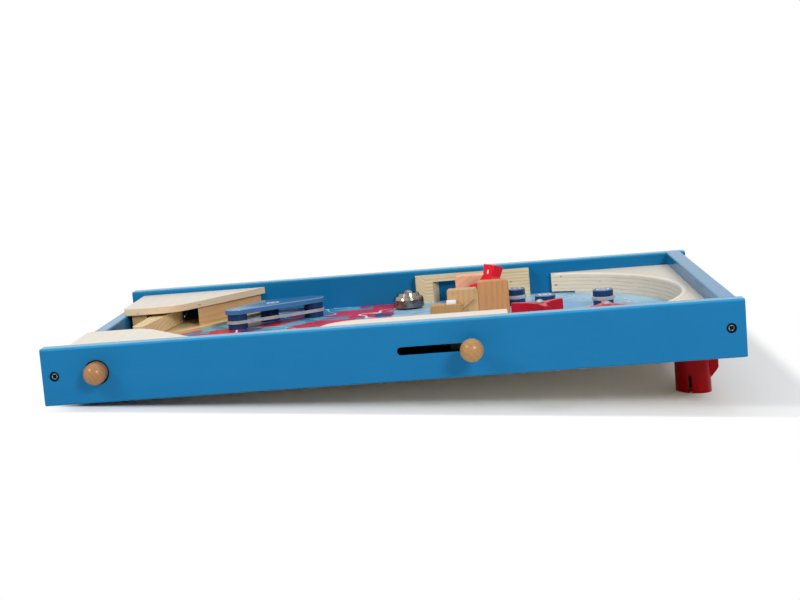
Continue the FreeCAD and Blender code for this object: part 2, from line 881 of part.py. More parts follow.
def rotor(radius, tip_width, kink_reach, kink_half_width, thickness):
    half = tip_width / 2
    arm = [(kink_reach, -kink_half_width), (radius, -half), (radius, half), (kink_reach, kink_half_width)]
    turns = [Rotation(along_z, 120 * number) for number in range(3)]
    points = [turn.multVec(Vector(x, y, 0)) for turn in turns for x, y in arm]
    body = Part.Face(Part.makePolygon(points + points[:1])).extrude(Vector(0, 0, thickness))
    body = rounded_at(body, thickness, rotor_edge_radius)
    return body.cut(rod(rotor_pin_radius + rotor_pin_clearance, (0, 0, 0), (0, 0, thickness)))


def rotor_screw(thickness, below):
    seat = thickness + rotor_end_play
    shank = rod(rotor_pin_radius, (0, 0, -below), (0, 0, seat))
    return shank.fuse(round_head(rotor_head_radius, rotor_head_height, seat))


def washer(gap):
    low = -gap
    high = -rotor_end_play
    disc = rod(washer_radius, (0, 0, low), (0, 0, high))
    return disc.cut(rod(rotor_pin_radius, (0, 0, low), (0, 0, high)))


def placed(shape, place):
    shape = shape.copy()
    shape.Placement = place.multiply(shape.Placement)
    return shape


def spinner_place(centre, degrees):
    return Placement(Vector(*centre, field_top + spinner_lift), Rotation(along_z, degrees))


# The star wheel's own frame: its back face in the XY plane, Z out of its front.
def star_place(turn_degrees):
    yaw = math.radians(star_yaw_degrees)
    back = math.radians(star_lean_back_degrees)
    turn = math.radians(turn_degrees)
    front = Vector(-math.sin(yaw) * math.cos(back), -math.cos(yaw) * math.cos(back), math.sin(back))
    side = Vector(math.cos(yaw), -math.sin(yaw), 0)
    arm = side * math.sin(turn) + front.cross(side) * math.cos(turn)
    centre = Vector(star_x, star_y, star_z) - front * (star_thickness / 2)
    return Placement(centre, Rotation(arm, front.cross(arm), front, "ZXY"))


def star_wheel():
    body = rotor(star_radius, star_tip_width, star_kink_reach, star_kink_half_width, star_thickness)
    return placed(body, star_place(star_turn_degrees))


def star_screw():
    return placed(rotor_screw(star_thickness, star_post_gap + star_screw_bite), star_place(0))


def star_washer():
    return placed(washer(star_post_gap), star_place(0))


def star_post():
    half = star_post_width / 2
    post = box(-2 * star_z, star_post_rise, -half, half, -star_post_gap - star_post_thickness, -star_post_gap)
    post = placed(post, star_place(0)).common(box(0, board_length, 0, board_width, field_top, 2 * star_z))
    return post.cut(star_screw())


def spinners():
    return {
        "spinner_middle": spinner_place(spinner_middle_centre, spinner_middle_degrees),
        "spinner_high": spinner_place(spinner_high_centre, spinner_high_degrees),
    }


# ---- all the pieces by name

rail = side_rail()
frame_screws = [frame_screw(x) for x in frame_screw_xs()]
spinner_body = rotor(spinner_radius, spinner_tip_width, spinner_kink_reach, spinner_kink_half_width, spinner_thickness)
spinner_screw = rotor_screw(spinner_thickness, spinner_lift + field_thickness)
places = spinners()
pieces = {
    "near_rail": rail.cut(plunger_slot()),
    "far_rail": mirrored(rail),
    "high_end_rail": end_rail(high_face, high_rail_thickness, rail_height, high_face, high_face + groove_depth),
    "low_end_rail": end_rail(end_rail_setback, low_rail_thickness, cover_underside, low_face - groove_depth, low_face),
    "frame_screws": group(frame_screws + [mirrored(screw) for screw in frame_screws]),
    "playfield": playfield(),
    "foot_batten": foot_batten(),
    "foot_near": foot(),
    "foot_far": mirrored(foot()),
    "foot_screws": group([foot_screw(), mirrored(foot_screw())]),
    "flipper_pins": group([flipper_pin(), mirrored(flipper_pin())]),
    "lane_cover": lane_cover(),
    "lane_wall": lane_wall(),
    "plunger_end_block": plunger_end_block(),
    "plunger_slider": plunger_slider(),
    "plunger_stem": plunger_stem(),
    "plunger_knob": plunger_knob(),
    "plunger_spring": plunger_spring(),
    "arch_block": arch_block(),
    "bridge_block": bridge_block(),
    "step_low": step_low(),
    "step_mid": step_mid(),
    "step_tall": step_tall(),
    "step_peg": step_peg(),
    "back_block": back_block(),
    "bell_dome": bell_dome(),
    "bell_post": bell_post(),
    "bell_screw": bell_screw(),
    "triangle_plate": triangle_plate(),
    "triangle_posts": triangle_posts(),
    "triangle_band": triangle_band(),
    "star_wheel": star_wheel(),
    "star_post": star_post(),
    "spinner_screws": group([placed(spinner_screw, p) for p in places.values()] + [star_screw()]),
    "spinner_washers": group([placed(washer(spinner_lift), p) for p in places.values()] + [star_washer()]),
}
for name, place in places.items():
    pieces[name] = placed(spinner_body, place)
module = {
    "flipper_cover": flipper_cover(),
    "flipper_base": flipper_base(),
    "flipper_spacer": flipper_spacer(),
    "flipper_end_block": flipper_end_block(),
    "flipper_lever": flipper_lever(),
    "button": button(),
    "button_stop": button_stop(),
    "button_guide": button_guide(),
}
for name, shape in module.items():
    pieces[name + "_near"] = shape
    pieces[name + "_far"] = mirrored(shape)
half_turn = Rotation(along_z, 180)
pieces["button_spring_near"] = button_spring()
pieces["button_spring_far"] = placed(button_spring(), Placement(Vector(0, 0, 0), half_turn, Vector(button_x, middle_y, 0)))
for number, centre in enumerate(bumper_centres, 1):
    pieces["bumper_post_%d" % number] = bumper_post(centre)
pieces["bumper_rings"] = group([bumper_ring(centre) for centre in bumper_centres])

# ---- stood on its feet: high end up, low end on the floor, origin under the middle

middle_x = (board_length * math.cos(tilt) - rail_height * math.sin(tilt)) / 2
centre_y = (board_width + button_reach - knob_reach - knob_radius) / 2
stand = Placement(Vector(-middle_x, -centre_y, -corner_gap), Rotation(along_y, -tilt_degrees))

os.makedirs("parts", exist_ok=True)
for name, shape in pieces.items():
    piece = placed(shape, stand)
    if not piece.isValid():
        print("not valid:", name)
    piece.exportStep("parts/%s.step" % name)
print(len(pieces), "pieces; the board's corner is at", [round(v, 3) for v in stand.Base])
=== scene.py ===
import math

import bmesh
import bpy
from mathutils import Matrix, Vector


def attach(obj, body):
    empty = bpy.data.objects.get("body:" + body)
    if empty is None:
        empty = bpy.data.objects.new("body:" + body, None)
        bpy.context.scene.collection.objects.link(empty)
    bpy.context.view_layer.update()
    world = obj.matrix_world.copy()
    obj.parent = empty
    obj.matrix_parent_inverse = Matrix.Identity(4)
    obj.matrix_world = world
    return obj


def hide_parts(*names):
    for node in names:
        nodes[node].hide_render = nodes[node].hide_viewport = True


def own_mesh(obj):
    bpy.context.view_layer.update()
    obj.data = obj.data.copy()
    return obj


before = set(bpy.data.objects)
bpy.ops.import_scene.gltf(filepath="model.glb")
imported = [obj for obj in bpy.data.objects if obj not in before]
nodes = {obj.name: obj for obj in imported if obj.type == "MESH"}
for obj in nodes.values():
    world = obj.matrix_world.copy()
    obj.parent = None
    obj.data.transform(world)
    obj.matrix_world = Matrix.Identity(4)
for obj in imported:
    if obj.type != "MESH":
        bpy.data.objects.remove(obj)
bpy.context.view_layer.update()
print("frame loaded:", len(nodes), "nodes")

mm = 0.001

# the board leans up towards its high end; board coordinates start at its low near bottom corner, in mm
board = {
    "tiltDegrees": 4.61,
    "cornerX": -0.29702,
    "cornerY": -0.185,
    "cornerZ": -0.000116,
}
boardTilt = math.radians(board["tiltDegrees"])
boardCorner = Vector((board["cornerX"], board["cornerY"], board["cornerZ"]))
boardTurn = Matrix.Rotation(-boardTilt, 3, "Y")
boardPlace = Matrix.Translation(boardCorner) @ boardTurn.to_4x4()
boardUp = boardTurn @ Vector((0, 0, 1))


def srgb(red, green, blue):
    def linear(value):
        value = value / 255
        return value / 12.92 if value <= 0.04045 else ((value + 0.055) / 1.055) ** 2.4
    return (linear(red), linear(green), linear(blue), 1.0)


# small helpers that add nodes to a tree and hand back the output socket

def addNode(tree, kind, **settings):
    node = tree.nodes.new(kind)
    for key, value in settings.items():
        setattr(node, key, value)
    return node


def setOrLink(tree, socket, value):
    if isinstance(value, bpy.types.NodeSocket):
        tree.links.new(value, socket)
    elif value is not None:
        socket.default_value = value


def mathNode(tree, operation, first, second=None, third=None):
    node = addNode(tree, "ShaderNodeMath", operation=operation)
    for socket, value in zip(node.inputs, (first, second, third)):
        setOrLink(tree, socket, value)
    return node.outputs[0]


def vectorMath(tree, operation, first, second=None):
    node = addNode(tree, "ShaderNodeVectorMath", operation=operation)
    setOrLink(tree, node.inputs[0], first)
    setOrLink(tree, node.inputs[1], second)
    return node.outputs["Value" if operation in ("DOT_PRODUCT", "LENGTH", "DISTANCE") else "Vector"]


def mixColour(tree, factor, first, second):
    node = addNode(tree, "ShaderNodeMix", data_type="RGBA")
    for socket, value in ((node.inputs[0], factor), (node.inputs[6], first), (node.inputs[7], second)):
        setOrLink(tree, socket, value)
    return node.outputs[2]


def ramp(tree, value, low, high, newLow=0.0, newHigh=1.0):
    node = addNode(tree, "ShaderNodeMapRange", interpolation_type="SMOOTHSTEP")
    for name, setting in (("Value", value), ("From Min", low), ("From Max", high), ("To Min", newLow),
                          ("To Max", newHigh)):
        setOrLink(tree, node.inputs[name], setting)
    return node.outputs["Result"]


def noise(tree, vector, scale, detail=3.0, roughness=0.5, stretch=None, output="Fac"):
    if stretch is not None:
        vector = vectorMath(tree, "MULTIPLY", vector, stretch)
    node = addNode(tree, "ShaderNodeTexNoise")
    for name, setting in (("Vector", vector), ("Scale", scale), ("Detail", detail), ("Roughness", roughness)):
        setOrLink(tree, node.inputs[name], setting)
    return node.outputs[output]


def splitVector(tree, vector):
    node = addNode(tree, "ShaderNodeSeparateXYZ")
    tree.links.new(vector, node.inputs[0])
    return node.outputs


def newGroup(name, inputs, outputs):
    group = bpy.data.node_groups.new(name, "ShaderNodeTree")
    for socketName, socketType, value in inputs:
        socket = group.interface.new_socket(name=socketName, in_out="INPUT", socket_type=socketType)
        if value is not None:
            socket.default_value = value
    for socketName, socketType in outputs:
        group.interface.new_socket(name=socketName, in_out="OUTPUT", socket_type=socketType)
    return group, group.nodes.new("NodeGroupInput"), group.nodes.new("NodeGroupOutput")


woodGrainLook = {
    "swayScale": 0.012,  # scales are per mm
    "sway": 26.0,  # how far the rings bend, in mm
    "poreScale": 0.9,
    "fleckScale": 1.5,
    "cloudScale": 0.02,
    "ringShare": 0.55,
    "cloudShare": 0.12,
}


# wood grain that runs along X: year rings, fine pores and short dark flecks
def buildWoodGrain():
    look = woodGrainLook
    group, start, end = newGroup(
        "woodGrain",
        [("Vector", "NodeSocketVector", None), ("Light", "NodeSocketColor", (0.8, 0.6, 0.4, 1)),
         ("Dark", "NodeSocketColor", (0.6, 0.4, 0.2, 1)), ("Ring Spacing", "NodeSocketFloat", 4.0),
         ("Contrast", "NodeSocketFloat", 0.5), ("Fleck", "NodeSocketFloat", 0.3)],
        [("Color", "NodeSocketColor"), ("Height", "NodeSocketFloat")])
    vector = start.outputs["Vector"]
    sway = noise(group, vector, look["swayScale"], 2.0, 0.5, (0.35, 1.0, 1.0))
    axes = splitVector(group, vector)
    across = mathNode(group, "MULTIPLY_ADD", axes["Z"], 0.7, axes["Y"])
    across = mathNode(group, "MULTIPLY_ADD", sway, look["sway"], across)
    saw = mathNode(group, "FRACT", mathNode(group, "DIVIDE", across, start.outputs["Ring Spacing"]))
    rings = mathNode(group, "MULTIPLY", ramp(group, saw, 0.25, 0.95), ramp(group, saw, 1.0, 0.95))
    pores = ramp(group, noise(group, vector, look["poreScale"], 4.0, 0.62, (0.05, 1.0, 1.0)), 0.42, 0.68)
    flecks = ramp(group, noise(group, vector, look["fleckScale"], 2.0, 0.5, (0.16, 1.0, 1.0)), 0.60, 0.70)
    clouds = ramp(group, noise(group, vector, look["cloudScale"], 2.0), 0.35, 0.7)
    fine = mathNode(group, "MULTIPLY", pores, 1 - look["ringShare"])
    amount = mathNode(group, "MULTIPLY_ADD", rings, look["ringShare"], fine)
    amount = mathNode(group, "MULTIPLY", amount, start.outputs["Contrast"])
    amount = mathNode(group, "MULTIPLY_ADD", clouds, look["cloudShare"], amount)
    amount = mathNode(group, "MULTIPLY_ADD", flecks, start.outputs["Fleck"], amount)
    group.links.new(mixColour(group, amount, start.outputs["Light"], start.outputs["Dark"]), end.inputs["Color"])
    group.links.new(mathNode(group, "SUBTRACT", 1.0, pores), end.inputs["Height"])
    return group


layeredEdgeLook = {
    "waveScale": 0.02,
    "wave": 1.6,  # how far a layer rises and falls, in mm
    "softScale": 0.6,
    "softShare": 0.22,
    "fleckScale": 0.35,
    "fleckShare": 1.4,
}


# layers that lie flat in a board, seen on its edges only, with a few dark flecks
def buildLayeredEdge():
    look = layeredEdgeLook
    group, start, end = newGroup(
        "layeredEdge",
        [("Vector", "NodeSocketVector", None), ("Face", "NodeSocketColor", (0.8, 0.7, 0.6, 1)),
         ("Pale Layer", "NodeSocketColor", (0.8, 0.7, 0.6, 1)), ("Dark Layer", "NodeSocketColor", (0.5, 0.35, 0.2, 1)),
         ("Spacing", "NodeSocketFloat", 3.5), ("Line Width", "NodeSocketFloat", 0.10),
         ("Strength", "NodeSocketFloat", 0.5)],
        [("Color", "NodeSocketColor"), ("Edge", "NodeSocketFloat")])
    vector = start.outputs["Vector"]
    wave = noise(group, vector, look["waveScale"], 2.0)
    level = mathNode(group, "MULTIPLY_ADD", wave, look["wave"], splitVector(group, vector)["Z"])
    cycle = mathNode(group, "FRACT", mathNode(group, "DIVIDE", level, start.outputs["Spacing"]))
    fromLine = mathNode(group, "ABSOLUTE", mathNode(group, "SUBTRACT", cycle, 0.5))
    line = ramp(group, fromLine, start.outputs["Line Width"], 0.0)
    line = mathNode(group, "MULTIPLY", line, ramp(group, noise(group, vector, 0.05, 2.0), 0.3, 0.6, 0.3, 1.0))
    soft = ramp(group, noise(group, vector, look["softScale"], 3.0, 0.6, (0.10, 0.10, 1.2)), 0.35, 0.7)
    fleck = ramp(group, noise(group, vector, look["fleckScale"], 1.0, 0.5, (0.35, 0.35, 1.3)), 0.75, 0.79)
    amount = mathNode(group, "MULTIPLY_ADD", soft, look["softShare"], line)
    amount = mathNode(group, "MULTIPLY_ADD", fleck, look["fleckShare"], amount)
    amount = mathNode(group, "MULTIPLY", amount, start.outputs["Strength"])
    edgeColour = mixColour(group, amount, start.outputs["Pale Layer"], start.outputs["Dark Layer"])
    shape = addNode(group, "ShaderNodeNewGeometry")
    facing = mathNode(group, "ABSOLUTE", vectorMath(group, "DOT_PRODUCT", shape.outputs["Normal"], boardUp))
    edge = ramp(group, facing, 0.80, 0.45)
    group.links.new(mixColour(group, edge, start.outputs["Face"], edgeColour), end.inputs["Color"])
    group.links.new(edge, end.inputs["Edge"])
    return group


sprayedLacquerLook = {
    "cloudScale": 0.02,
    "brushScale": 0.5,
    "peelScale": 0.35,
    "cloudShare": 0.6,
    "glossSpread": 0.04,
}


# sprayed lacquer: the coat is a little thinner in clouds and along the brushed grain
def buildSprayedLacquer():
    look = sprayedLacquerLook
    group, start, end = newGroup(
        "sprayedLacquer",
        [("Vector", "NodeSocketVector", None), ("Colour", "NodeSocketColor", (0.1, 0.4, 0.7, 1)),
         ("Thin", "NodeSocketColor", (0.2, 0.5, 0.8, 1)), ("Amount", "NodeSocketFloat", 0.3),
         ("Gloss", "NodeSocketFloat", 0.3)],
        [("Color", "NodeSocketColor"), ("Roughness", "NodeSocketFloat"), ("Height", "NodeSocketFloat")])
    vector = start.outputs["Vector"]
    cloud = ramp(group, noise(group, vector, look["cloudScale"], 3.0), 0.3, 0.75)
    brush = ramp(group, noise(group, vector, look["brushScale"], 3.0, 0.6, (0.04, 1.0, 1.0)), 0.35, 0.75)
    fine = mathNode(group, "MULTIPLY", brush, 1 - look["cloudShare"])
    amount = mathNode(group, "MULTIPLY_ADD", cloud, look["cloudShare"], fine)
    amount = mathNode(group, "MULTIPLY", amount, start.outputs["Amount"])
    group.links.new(mixColour(group, amount, start.outputs["Colour"], start.outputs["Thin"]), end.inputs["Color"])
    gloss = mathNode(group, "MULTIPLY_ADD", brush, look["glossSpread"], start.outputs["Gloss"])
    group.links.new(gloss, end.inputs["Roughness"])
    peel = noise(group, vector, look["peelScale"], 2.0)
    group.links.new(mathNode(group, "MULTIPLY_ADD", brush, 0.5, peel), end.inputs["Height"])
    return group


# a printed ring with a dot in it, flat on the board
def buildRingMark():
    group, start, end = newGroup(
        "ringMark",
        [("Vector", "NodeSocketVector", None), ("Centre", "NodeSocketVector", (0.0, 0.0, 0.0)),
         ("Ring Radius", "NodeSocketFloat", 5.0), ("Half Width", "NodeSocketFloat", 0.6),
         ("Dot Radius", "NodeSocketFloat", 1.5)],
        [("Mask", "NodeSocketFloat")])
    flat = vectorMath(group, "MULTIPLY", start.outputs["Vector"], (1.0, 1.0, 0.0))
    away = vectorMath(group, "DISTANCE", flat, start.outputs["Centre"])
    fromRing = mathNode(group, "ABSOLUTE", mathNode(group, "SUBTRACT", away, start.outputs["Ring Radius"]))
    ring = mathNode(group, "LESS_THAN", fromRing, start.outputs["Half Width"])
    dot = mathNode(group, "LESS_THAN", away, start.outputs["Dot Radius"])
    group.links.new(mathNode(group, "MAXIMUM", ring, dot), end.inputs["Mask"])
    return group


woodGrain = buildWoodGrain()
layeredEdge = buildLayeredEdge()
sprayedLacquer = buildSprayedLacquer()
ringMark = buildRingMark()


def newMaterial(name):
    material = bpy.data.materials.new(name)
    material.use_nodes = True
    tree = material.node_tree
    return material, tree, tree.nodes["Principled BSDF"]


# object coordinates in millimetres, square to the board
def boardVector(tree):
    coordinates = addNode(tree, "ShaderNodeTexCoord")
    square = addNode(tree, "ShaderNodeMapping", vector_type="POINT")
    tree.links.new(coordinates.outputs["Object"], square.inputs["Vector"])
    square.inputs["Scale"].default_value = (1 / mm, 1 / mm, 1 / mm)
    square.inputs["Rotation"].default_value = (0.0, boardTilt, 0.0)
    square.inputs["Location"].default_value = boardTurn.inverted() @ (boardCorner * (-1 / mm))
    return square.outputs["Vector"]


# the same, turned so that X runs along the grain
def grainVector(tree, along=0.0, shift=(0.0, 0.0, 0.0), upright=False):
    turned = addNode(tree, "ShaderNodeMapping", vector_type="POINT")
    tree.links.new(boardVector(tree), turned.inputs["Vector"])
    turned.inputs["Rotation"].default_value = (0.0, math.radians(90) if upright else 0.0, math.radians(along))
    turned.inputs["Location"].default_value = shift
    return turned.outputs["Vector"]


def useGroup(tree, group, vector, **values):
    node = addNode(tree, "ShaderNodeGroup", node_tree=group)
    tree.links.new(vector, node.inputs["Vector"])
    for key, value in values.items():
        setOrLink(tree, node.inputs[key.replace("_", " ")], value)
    return node


def addBump(tree, shader, height, strength, distance=0.0001):
    bump = addNode(tree, "ShaderNodeBump")
    bump.inputs["Strength"].default_value = strength
    bump.inputs["Distance"].default_value = distance
    tree.links.new(height, bump.inputs["Height"])
    tree.links.new(bump.outputs["Normal"], shader.inputs["Normal"])


# a mask that is 1 on a spot and fades at its rim
def spotMask(tree, vector, centre, radius, squash):
    away = vectorMath(tree, "SUBTRACT", vector, centre)
    return ramp(tree, vectorMath(tree, "LENGTH", vectorMath(tree, "MULTIPLY", away, squash)), radius, radius * 0.4)


railPaint = {
    "colour": srgb(19, 108, 158),
    "thin": srgb(34, 122, 174),
    # painted highlight: the lighter blue of the rounded top edges
    "edge": srgb(48, 152, 198),
    # painted shade: near-black for the inside of the plunger's slot and the button holes
    "paintedRecessShade": srgb(4, 10, 16),
    "thinAmount": 0.22,
    "gloss": 0.15,
    "highlightFrom": 2.8,  # the painted highlight on the rounded top edge starts this far below the rail's top and is full at the next value
    "highlightTo": 0.5,
    "slot": (305.4, 374.0, 21.8, 30.2),  # low and high X, low and high Z
    "buttonHole": (47.8, 26.5, 11.4),  # X, Z, radius
    "thickness": 15.0,
    "faceGap": 0.4,
    "boardWidth": 384.0,
    "bump": 0.03,
}

# how high each rail is, how strong the painted highlight on its top edge is, and how shiny it is
railFinishes = {
    "railBlue": (50.0, 0.85, 0.10),
    "highRailBlue": (50.0, 0.45, 0.05),
    "lowRailBlue": (38.0, 0.70, 0.10),
}


def makeRailPaint(name, railHeight, highlightAmount, specular):
    material, tree, shader = newMaterial(name)
    vector = boardVector(tree)
    coat = useGroup(tree, sprayedLacquer, vector, Colour=railPaint["colour"], Thin=railPaint["thin"],
                    Amount=railPaint["thinAmount"], Gloss=railPaint["gloss"])
    # painted highlight: the rounded top edges are painted a lighter blue, in patches
    axes = splitVector(tree, vector)
    top = ramp(tree, axes["Z"], railHeight - railPaint["highlightFrom"], railHeight - railPaint["highlightTo"])
    patchyHighlight = noise(tree, vector, 0.05, 3.0, 0.6, (0.3, 1.0, 1.0))
    patchyHighlight = ramp(tree, patchyHighlight, 0.30, 0.60, highlightAmount * 0.7, highlightAmount)
    colour = mixColour(tree, mathNode(tree, "MULTIPLY", top, patchyHighlight), coat.outputs["Color"], railPaint["edge"])
    # painted shade: the inside of the plunger's slot and the button holes is painted near-black
    lowX, highX, lowZ, highZ = railPaint["slot"]
    slot = mathNode(tree, "MULTIPLY",
                    mathNode(tree, "COMPARE", axes["X"], (lowX + highX) / 2, (highX - lowX) / 2),
                    mathNode(tree, "COMPARE", axes["Z"], (lowZ + highZ) / 2, (highZ - lowZ) / 2))
    x, z, radius = railPaint["buttonHole"]
    level = vectorMath(tree, "MULTIPLY", vector, (1.0, 0.0, 1.0))
    hole = mathNode(tree, "LESS_THAN", vectorMath(tree, "DISTANCE", level, (x, 0.0, z)), radius)
    half = railPaint["thickness"] / 2
    depth = half - railPaint["faceGap"]
    inNear = mathNode(tree, "COMPARE", axes["Y"], half, depth)
    inFar = mathNode(tree, "COMPARE", axes["Y"], railPaint["boardWidth"] - half, depth)
    slot = mathNode(tree, "MULTIPLY", slot, inNear)
    hole = mathNode(tree, "MULTIPLY", hole, mathNode(tree, "MAXIMUM", inNear, inFar))
    paintedRecessShade = mathNode(tree, "MAXIMUM", slot, hole)
    tree.links.new(mixColour(tree, paintedRecessShade, colour, railPaint["paintedRecessShade"]), shader.inputs["Base Color"])
    tree.links.new(coat.outputs["Roughness"], shader.inputs["Roughness"])
    shader.inputs["Specular IOR Level"].default_value = specular
    addBump(tree, shader, coat.outputs["Height"], railPaint["bump"])
    return material


enamel = {
    "thinAmount": 0.3,
    "bump": 0.12,
}


def makeEnamel(name, colour, thin, gloss, specular):
    material, tree, shader = newMaterial(name)
    coat = useGroup(tree, sprayedLacquer, boardVector(tree), Colour=colour, Thin=thin, Amount=enamel["thinAmount"],
                    Gloss=gloss)
    tree.links.new(coat.outputs["Color"], shader.inputs["Base Color"])
    tree.links.new(coat.outputs["Roughness"], shader.inputs["Roughness"])
    shader.inputs["Specular IOR Level"].default_value = specular
    addBump(tree, shader, coat.outputs["Height"], enamel["bump"])
    return material, tree, shader, coat


blueEnamel = {
    "colour": srgb(24, 56, 98),
    "thin": srgb(34, 72, 120),
    "plate": srgb(64, 114, 162),
    "plateThin": srgb(82, 134, 182),
    # painted highlight on the rounded top edges
    "rim": srgb(130, 176, 214),
    "mark": srgb(232, 238, 244),
    "bumperCentres": [(414.7, 296.0), (442.8, 234.0), (500.5, 243.0)],
    "bumperTop": 33.0,
    "triangleMark": (163.0, 297.0),
    "triangleTop": 36.7,
    "specular": 0.25,
    "rimMiddle": 0.45,  # below the top, in mm
    "rimHalf": 0.35,
    "rimAmount": 0.4,
}


def makeBlueEnamel(name, colours, gloss, centres, top, ringRadius, halfWidth, dotRadius):
    material, tree, shader, coat = makeEnamel(name, blueEnamel[colours[0]], blueEnamel[colours[1]], gloss,
                                              blueEnamel["specular"])
    vector = boardVector(tree)
    marks = None
    for x, y in centres:
        ring = useGroup(tree, ringMark, vector, Centre=(x, y, 0.0), Ring_Radius=ringRadius, Half_Width=halfWidth,
                        Dot_Radius=dotRadius).outputs["Mask"]
        marks = ring if marks is None else mathNode(tree, "MAXIMUM", marks, ring)
    height = splitVector(tree, vector)["Z"]
    printed = mathNode(tree, "MULTIPLY", marks, mathNode(tree, "GREATER_THAN", height, top - 0.05))
    # painted highlight: a band just below the rounded top edge is painted lighter
    rim = mathNode(tree, "COMPARE", height, top - blueEnamel["rimMiddle"], blueEnamel["rimHalf"])
    rim = mathNode(tree, "MULTIPLY", rim, blueEnamel["rimAmount"])
    colour = mixColour(tree, rim, coat.outputs["Color"], blueEnamel["rim"])
    tree.links.new(mixColour(tree, printed, colour, blueEnamel["mark"]), shader.inputs["Base Color"])
    return material


# the star wheel's own frame: its middle, the first arm's direction and its front
starFrame = {
    "centre": (389.0, 280.0, 40.2),
    "yawDegrees": 40.0,
    "leanBackDegrees": 18.0,
    "turnDegrees": 5.0,
    "halfThickness": 6.8,
    "dashFrom": 10.5,
    "dashTo": 15.0,
    "dashHalf": 1.0,
    "dashFade": 0.6,
}


def makeStarEnamel():
    material, tree, shader, coat = makeEnamel("starRed", redEnamel["bright"], redEnamel["thin"], 0.24, 0.15)
    yaw = math.radians(starFrame["yawDegrees"])
    back = math.radians(starFrame["leanBackDegrees"])
    turn = math.radians(starFrame["turnDegrees"])
    front = Vector((-math.sin(yaw) * math.cos(back), -math.cos(yaw) * math.cos(back), math.sin(back)))
    side = Vector((math.cos(yaw), -math.sin(yaw), 0))
    arm = side * math.sin(turn) + front.cross(side) * math.cos(turn)
    fromMiddle = vectorMath(tree, "SUBTRACT", boardVector(tree), starFrame["centre"])
    alongArm = vectorMath(tree, "DOT_PRODUCT", fromMiddle, arm)
    acrossArm = vectorMath(tree, "DOT_PRODUCT", fromMiddle, front.cross(arm))
    depth = vectorMath(tree, "DOT_PRODUCT", fromMiddle, front)
    # one pale dash along each of the three arms
    angle = mathNode(tree, "ARCTAN2", acrossArm, alongArm)
    angle = mathNode(tree, "WRAP", angle, math.radians(60), math.radians(-60))
    reach = mathNode(tree, "MULTIPLY_ADD", alongArm, alongArm, mathNode(tree, "MULTIPLY", acrossArm, acrossArm))
    reach = mathNode(tree, "POWER", reach, 0.5)
    offLine = mathNode(tree, "ABSOLUTE", mathNode(tree, "MULTIPLY", reach, mathNode(tree, "SINE", angle)))
    outwards = mathNode(tree, "MULTIPLY", reach, mathNode(tree, "COSINE", angle))
    start, end, fade = starFrame["dashFrom"], starFrame["dashTo"], starFrame["dashFade"]
    dash = mathNode(tree, "MULTIPLY", ramp(tree, outwards, start, start + fade), ramp(tree, outwards, end, end - fade))
    dash = mathNode(tree, "MULTIPLY", dash, ramp(tree, offLine, starFrame["dashHalf"], starFrame["dashHalf"] * 0.7))
    face = starFrame["halfThickness"]
    dash = mathNode(tree, "MULTIPLY", dash, ramp(tree, depth, face - 0.4, face - 0.1))
    tree.links.new(mixColour(tree, dash, coat.outputs["Color"], blueEnamel["mark"]), shader.inputs["Base Color"])
    return material


redEnamel = {
    "colour": srgb(186, 18, 42),
    "thin": srgb(214, 34, 58),
    "bright": srgb(236, 26, 46),
}

footPlastic = {
    "colour": srgb(148, 2, 8),
    "deep": srgb(118, 1, 6),
}


def makeFootPlastic():
    material, tree, shader = newMaterial("footRed")
    vector = boardVector(tree)
    flow = ramp(tree, noise(tree, vector, 0.05, 3.0, 0.5, (1.0, 1.0, 0.3)), 0.35, 0.7)
    tree.links.new(mixColour(tree, flow, footPlastic["colour"], footPlastic["deep"]), shader.inputs["Base Color"])
    tree.links.new(ramp(tree, noise(tree, vector, 0.4, 2.0), 0.3, 0.7, 0.18, 0.26), shader.inputs["Roughness"])
    shader.inputs["Specular IOR Level"].default_value = 0.08
    addBump(tree, shader, noise(tree, vector, 0.12, 2.0), 0.25, 0.0002)
    return material


# woods: pale and dark grain colours, ring spacing, contrast, fleck, and which way the grain runs
woods = {
    "leverBeech": {"light": srgb(238, 216, 166), "dark": srgb(196, 160, 108), "spacing": 3.2, "contrast": 0.6,
                   "fleck": 0.25, "along": -92.0},
    "spacerNear": {"light": srgb(218, 176, 124), "dark": srgb(178, 132, 84), "spacing": 5.0, "contrast": 0.4,
                   "fleck": 0.35, "along": 53.3},
    "blockBeech": {"light": srgb(206, 168, 118), "dark": srgb(164, 122, 78), "spacing": 4.0, "contrast": 0.5,
                   "fleck": 0.4, "along": -90.0},
    "lowPlate": {"light": srgb(194, 146, 94), "dark": srgb(146, 102, 56), "spacing": 2.4, "contrast": 0.4,
                 "fleck": 0.45, "upright": True, "shift": (0, 3, 0)},
    "midPlate": {"light": srgb(210, 168, 120), "dark": srgb(170, 124, 78), "spacing": 3.4, "contrast": 0.35,
                 "fleck": 0.5, "upright": True, "shift": (10, 9, 0)},
    "tallPlate": {"light": srgb(208, 148, 96), "dark": srgb(168, 102, 58), "spacing": 5.0, "contrast": 0.42,
                  "fleck": 0.45, "upright": True, "shift": (30, 2, 0)},
    "backSalmon": {"light": srgb(248, 182, 146), "dark": srgb(218, 144, 108), "spacing": 3.4, "contrast": 0.45,
                   "fleck": 0.3, "along": 0.0, "lean": 38.0},
    "pegWood": {"light": srgb(208, 166, 114), "dark": srgb(150, 110, 70), "spacing": 1.2, "contrast": 0.6,
                "fleck": 0.5},
    "postWood": {"light": srgb(204, 158, 112), "dark": srgb(164, 112, 72), "spacing": 4.0, "contrast": 0.4,
                 "fleck": 0.4, "upright": True},
    # painted shade: the plunger's slider is near-black, as the shade in the slot it runs in
    "sliderPaintedShade": {"light": srgb(40, 38, 36), "dark": srgb(24, 22, 21), "spacing": 3.0, "contrast": 0.5,
                   "fleck": 0.2},
    "battenPine": {"light": srgb(226, 204, 162), "dark": srgb(188, 150, 98), "spacing": 4.5, "contrast": 0.6,
                   "fleck": 0.2, "along": -90.0},
}
woods["spacerFar"] = dict(woods["spacerNear"], along=-53.3, shift=(0, 30, 5))


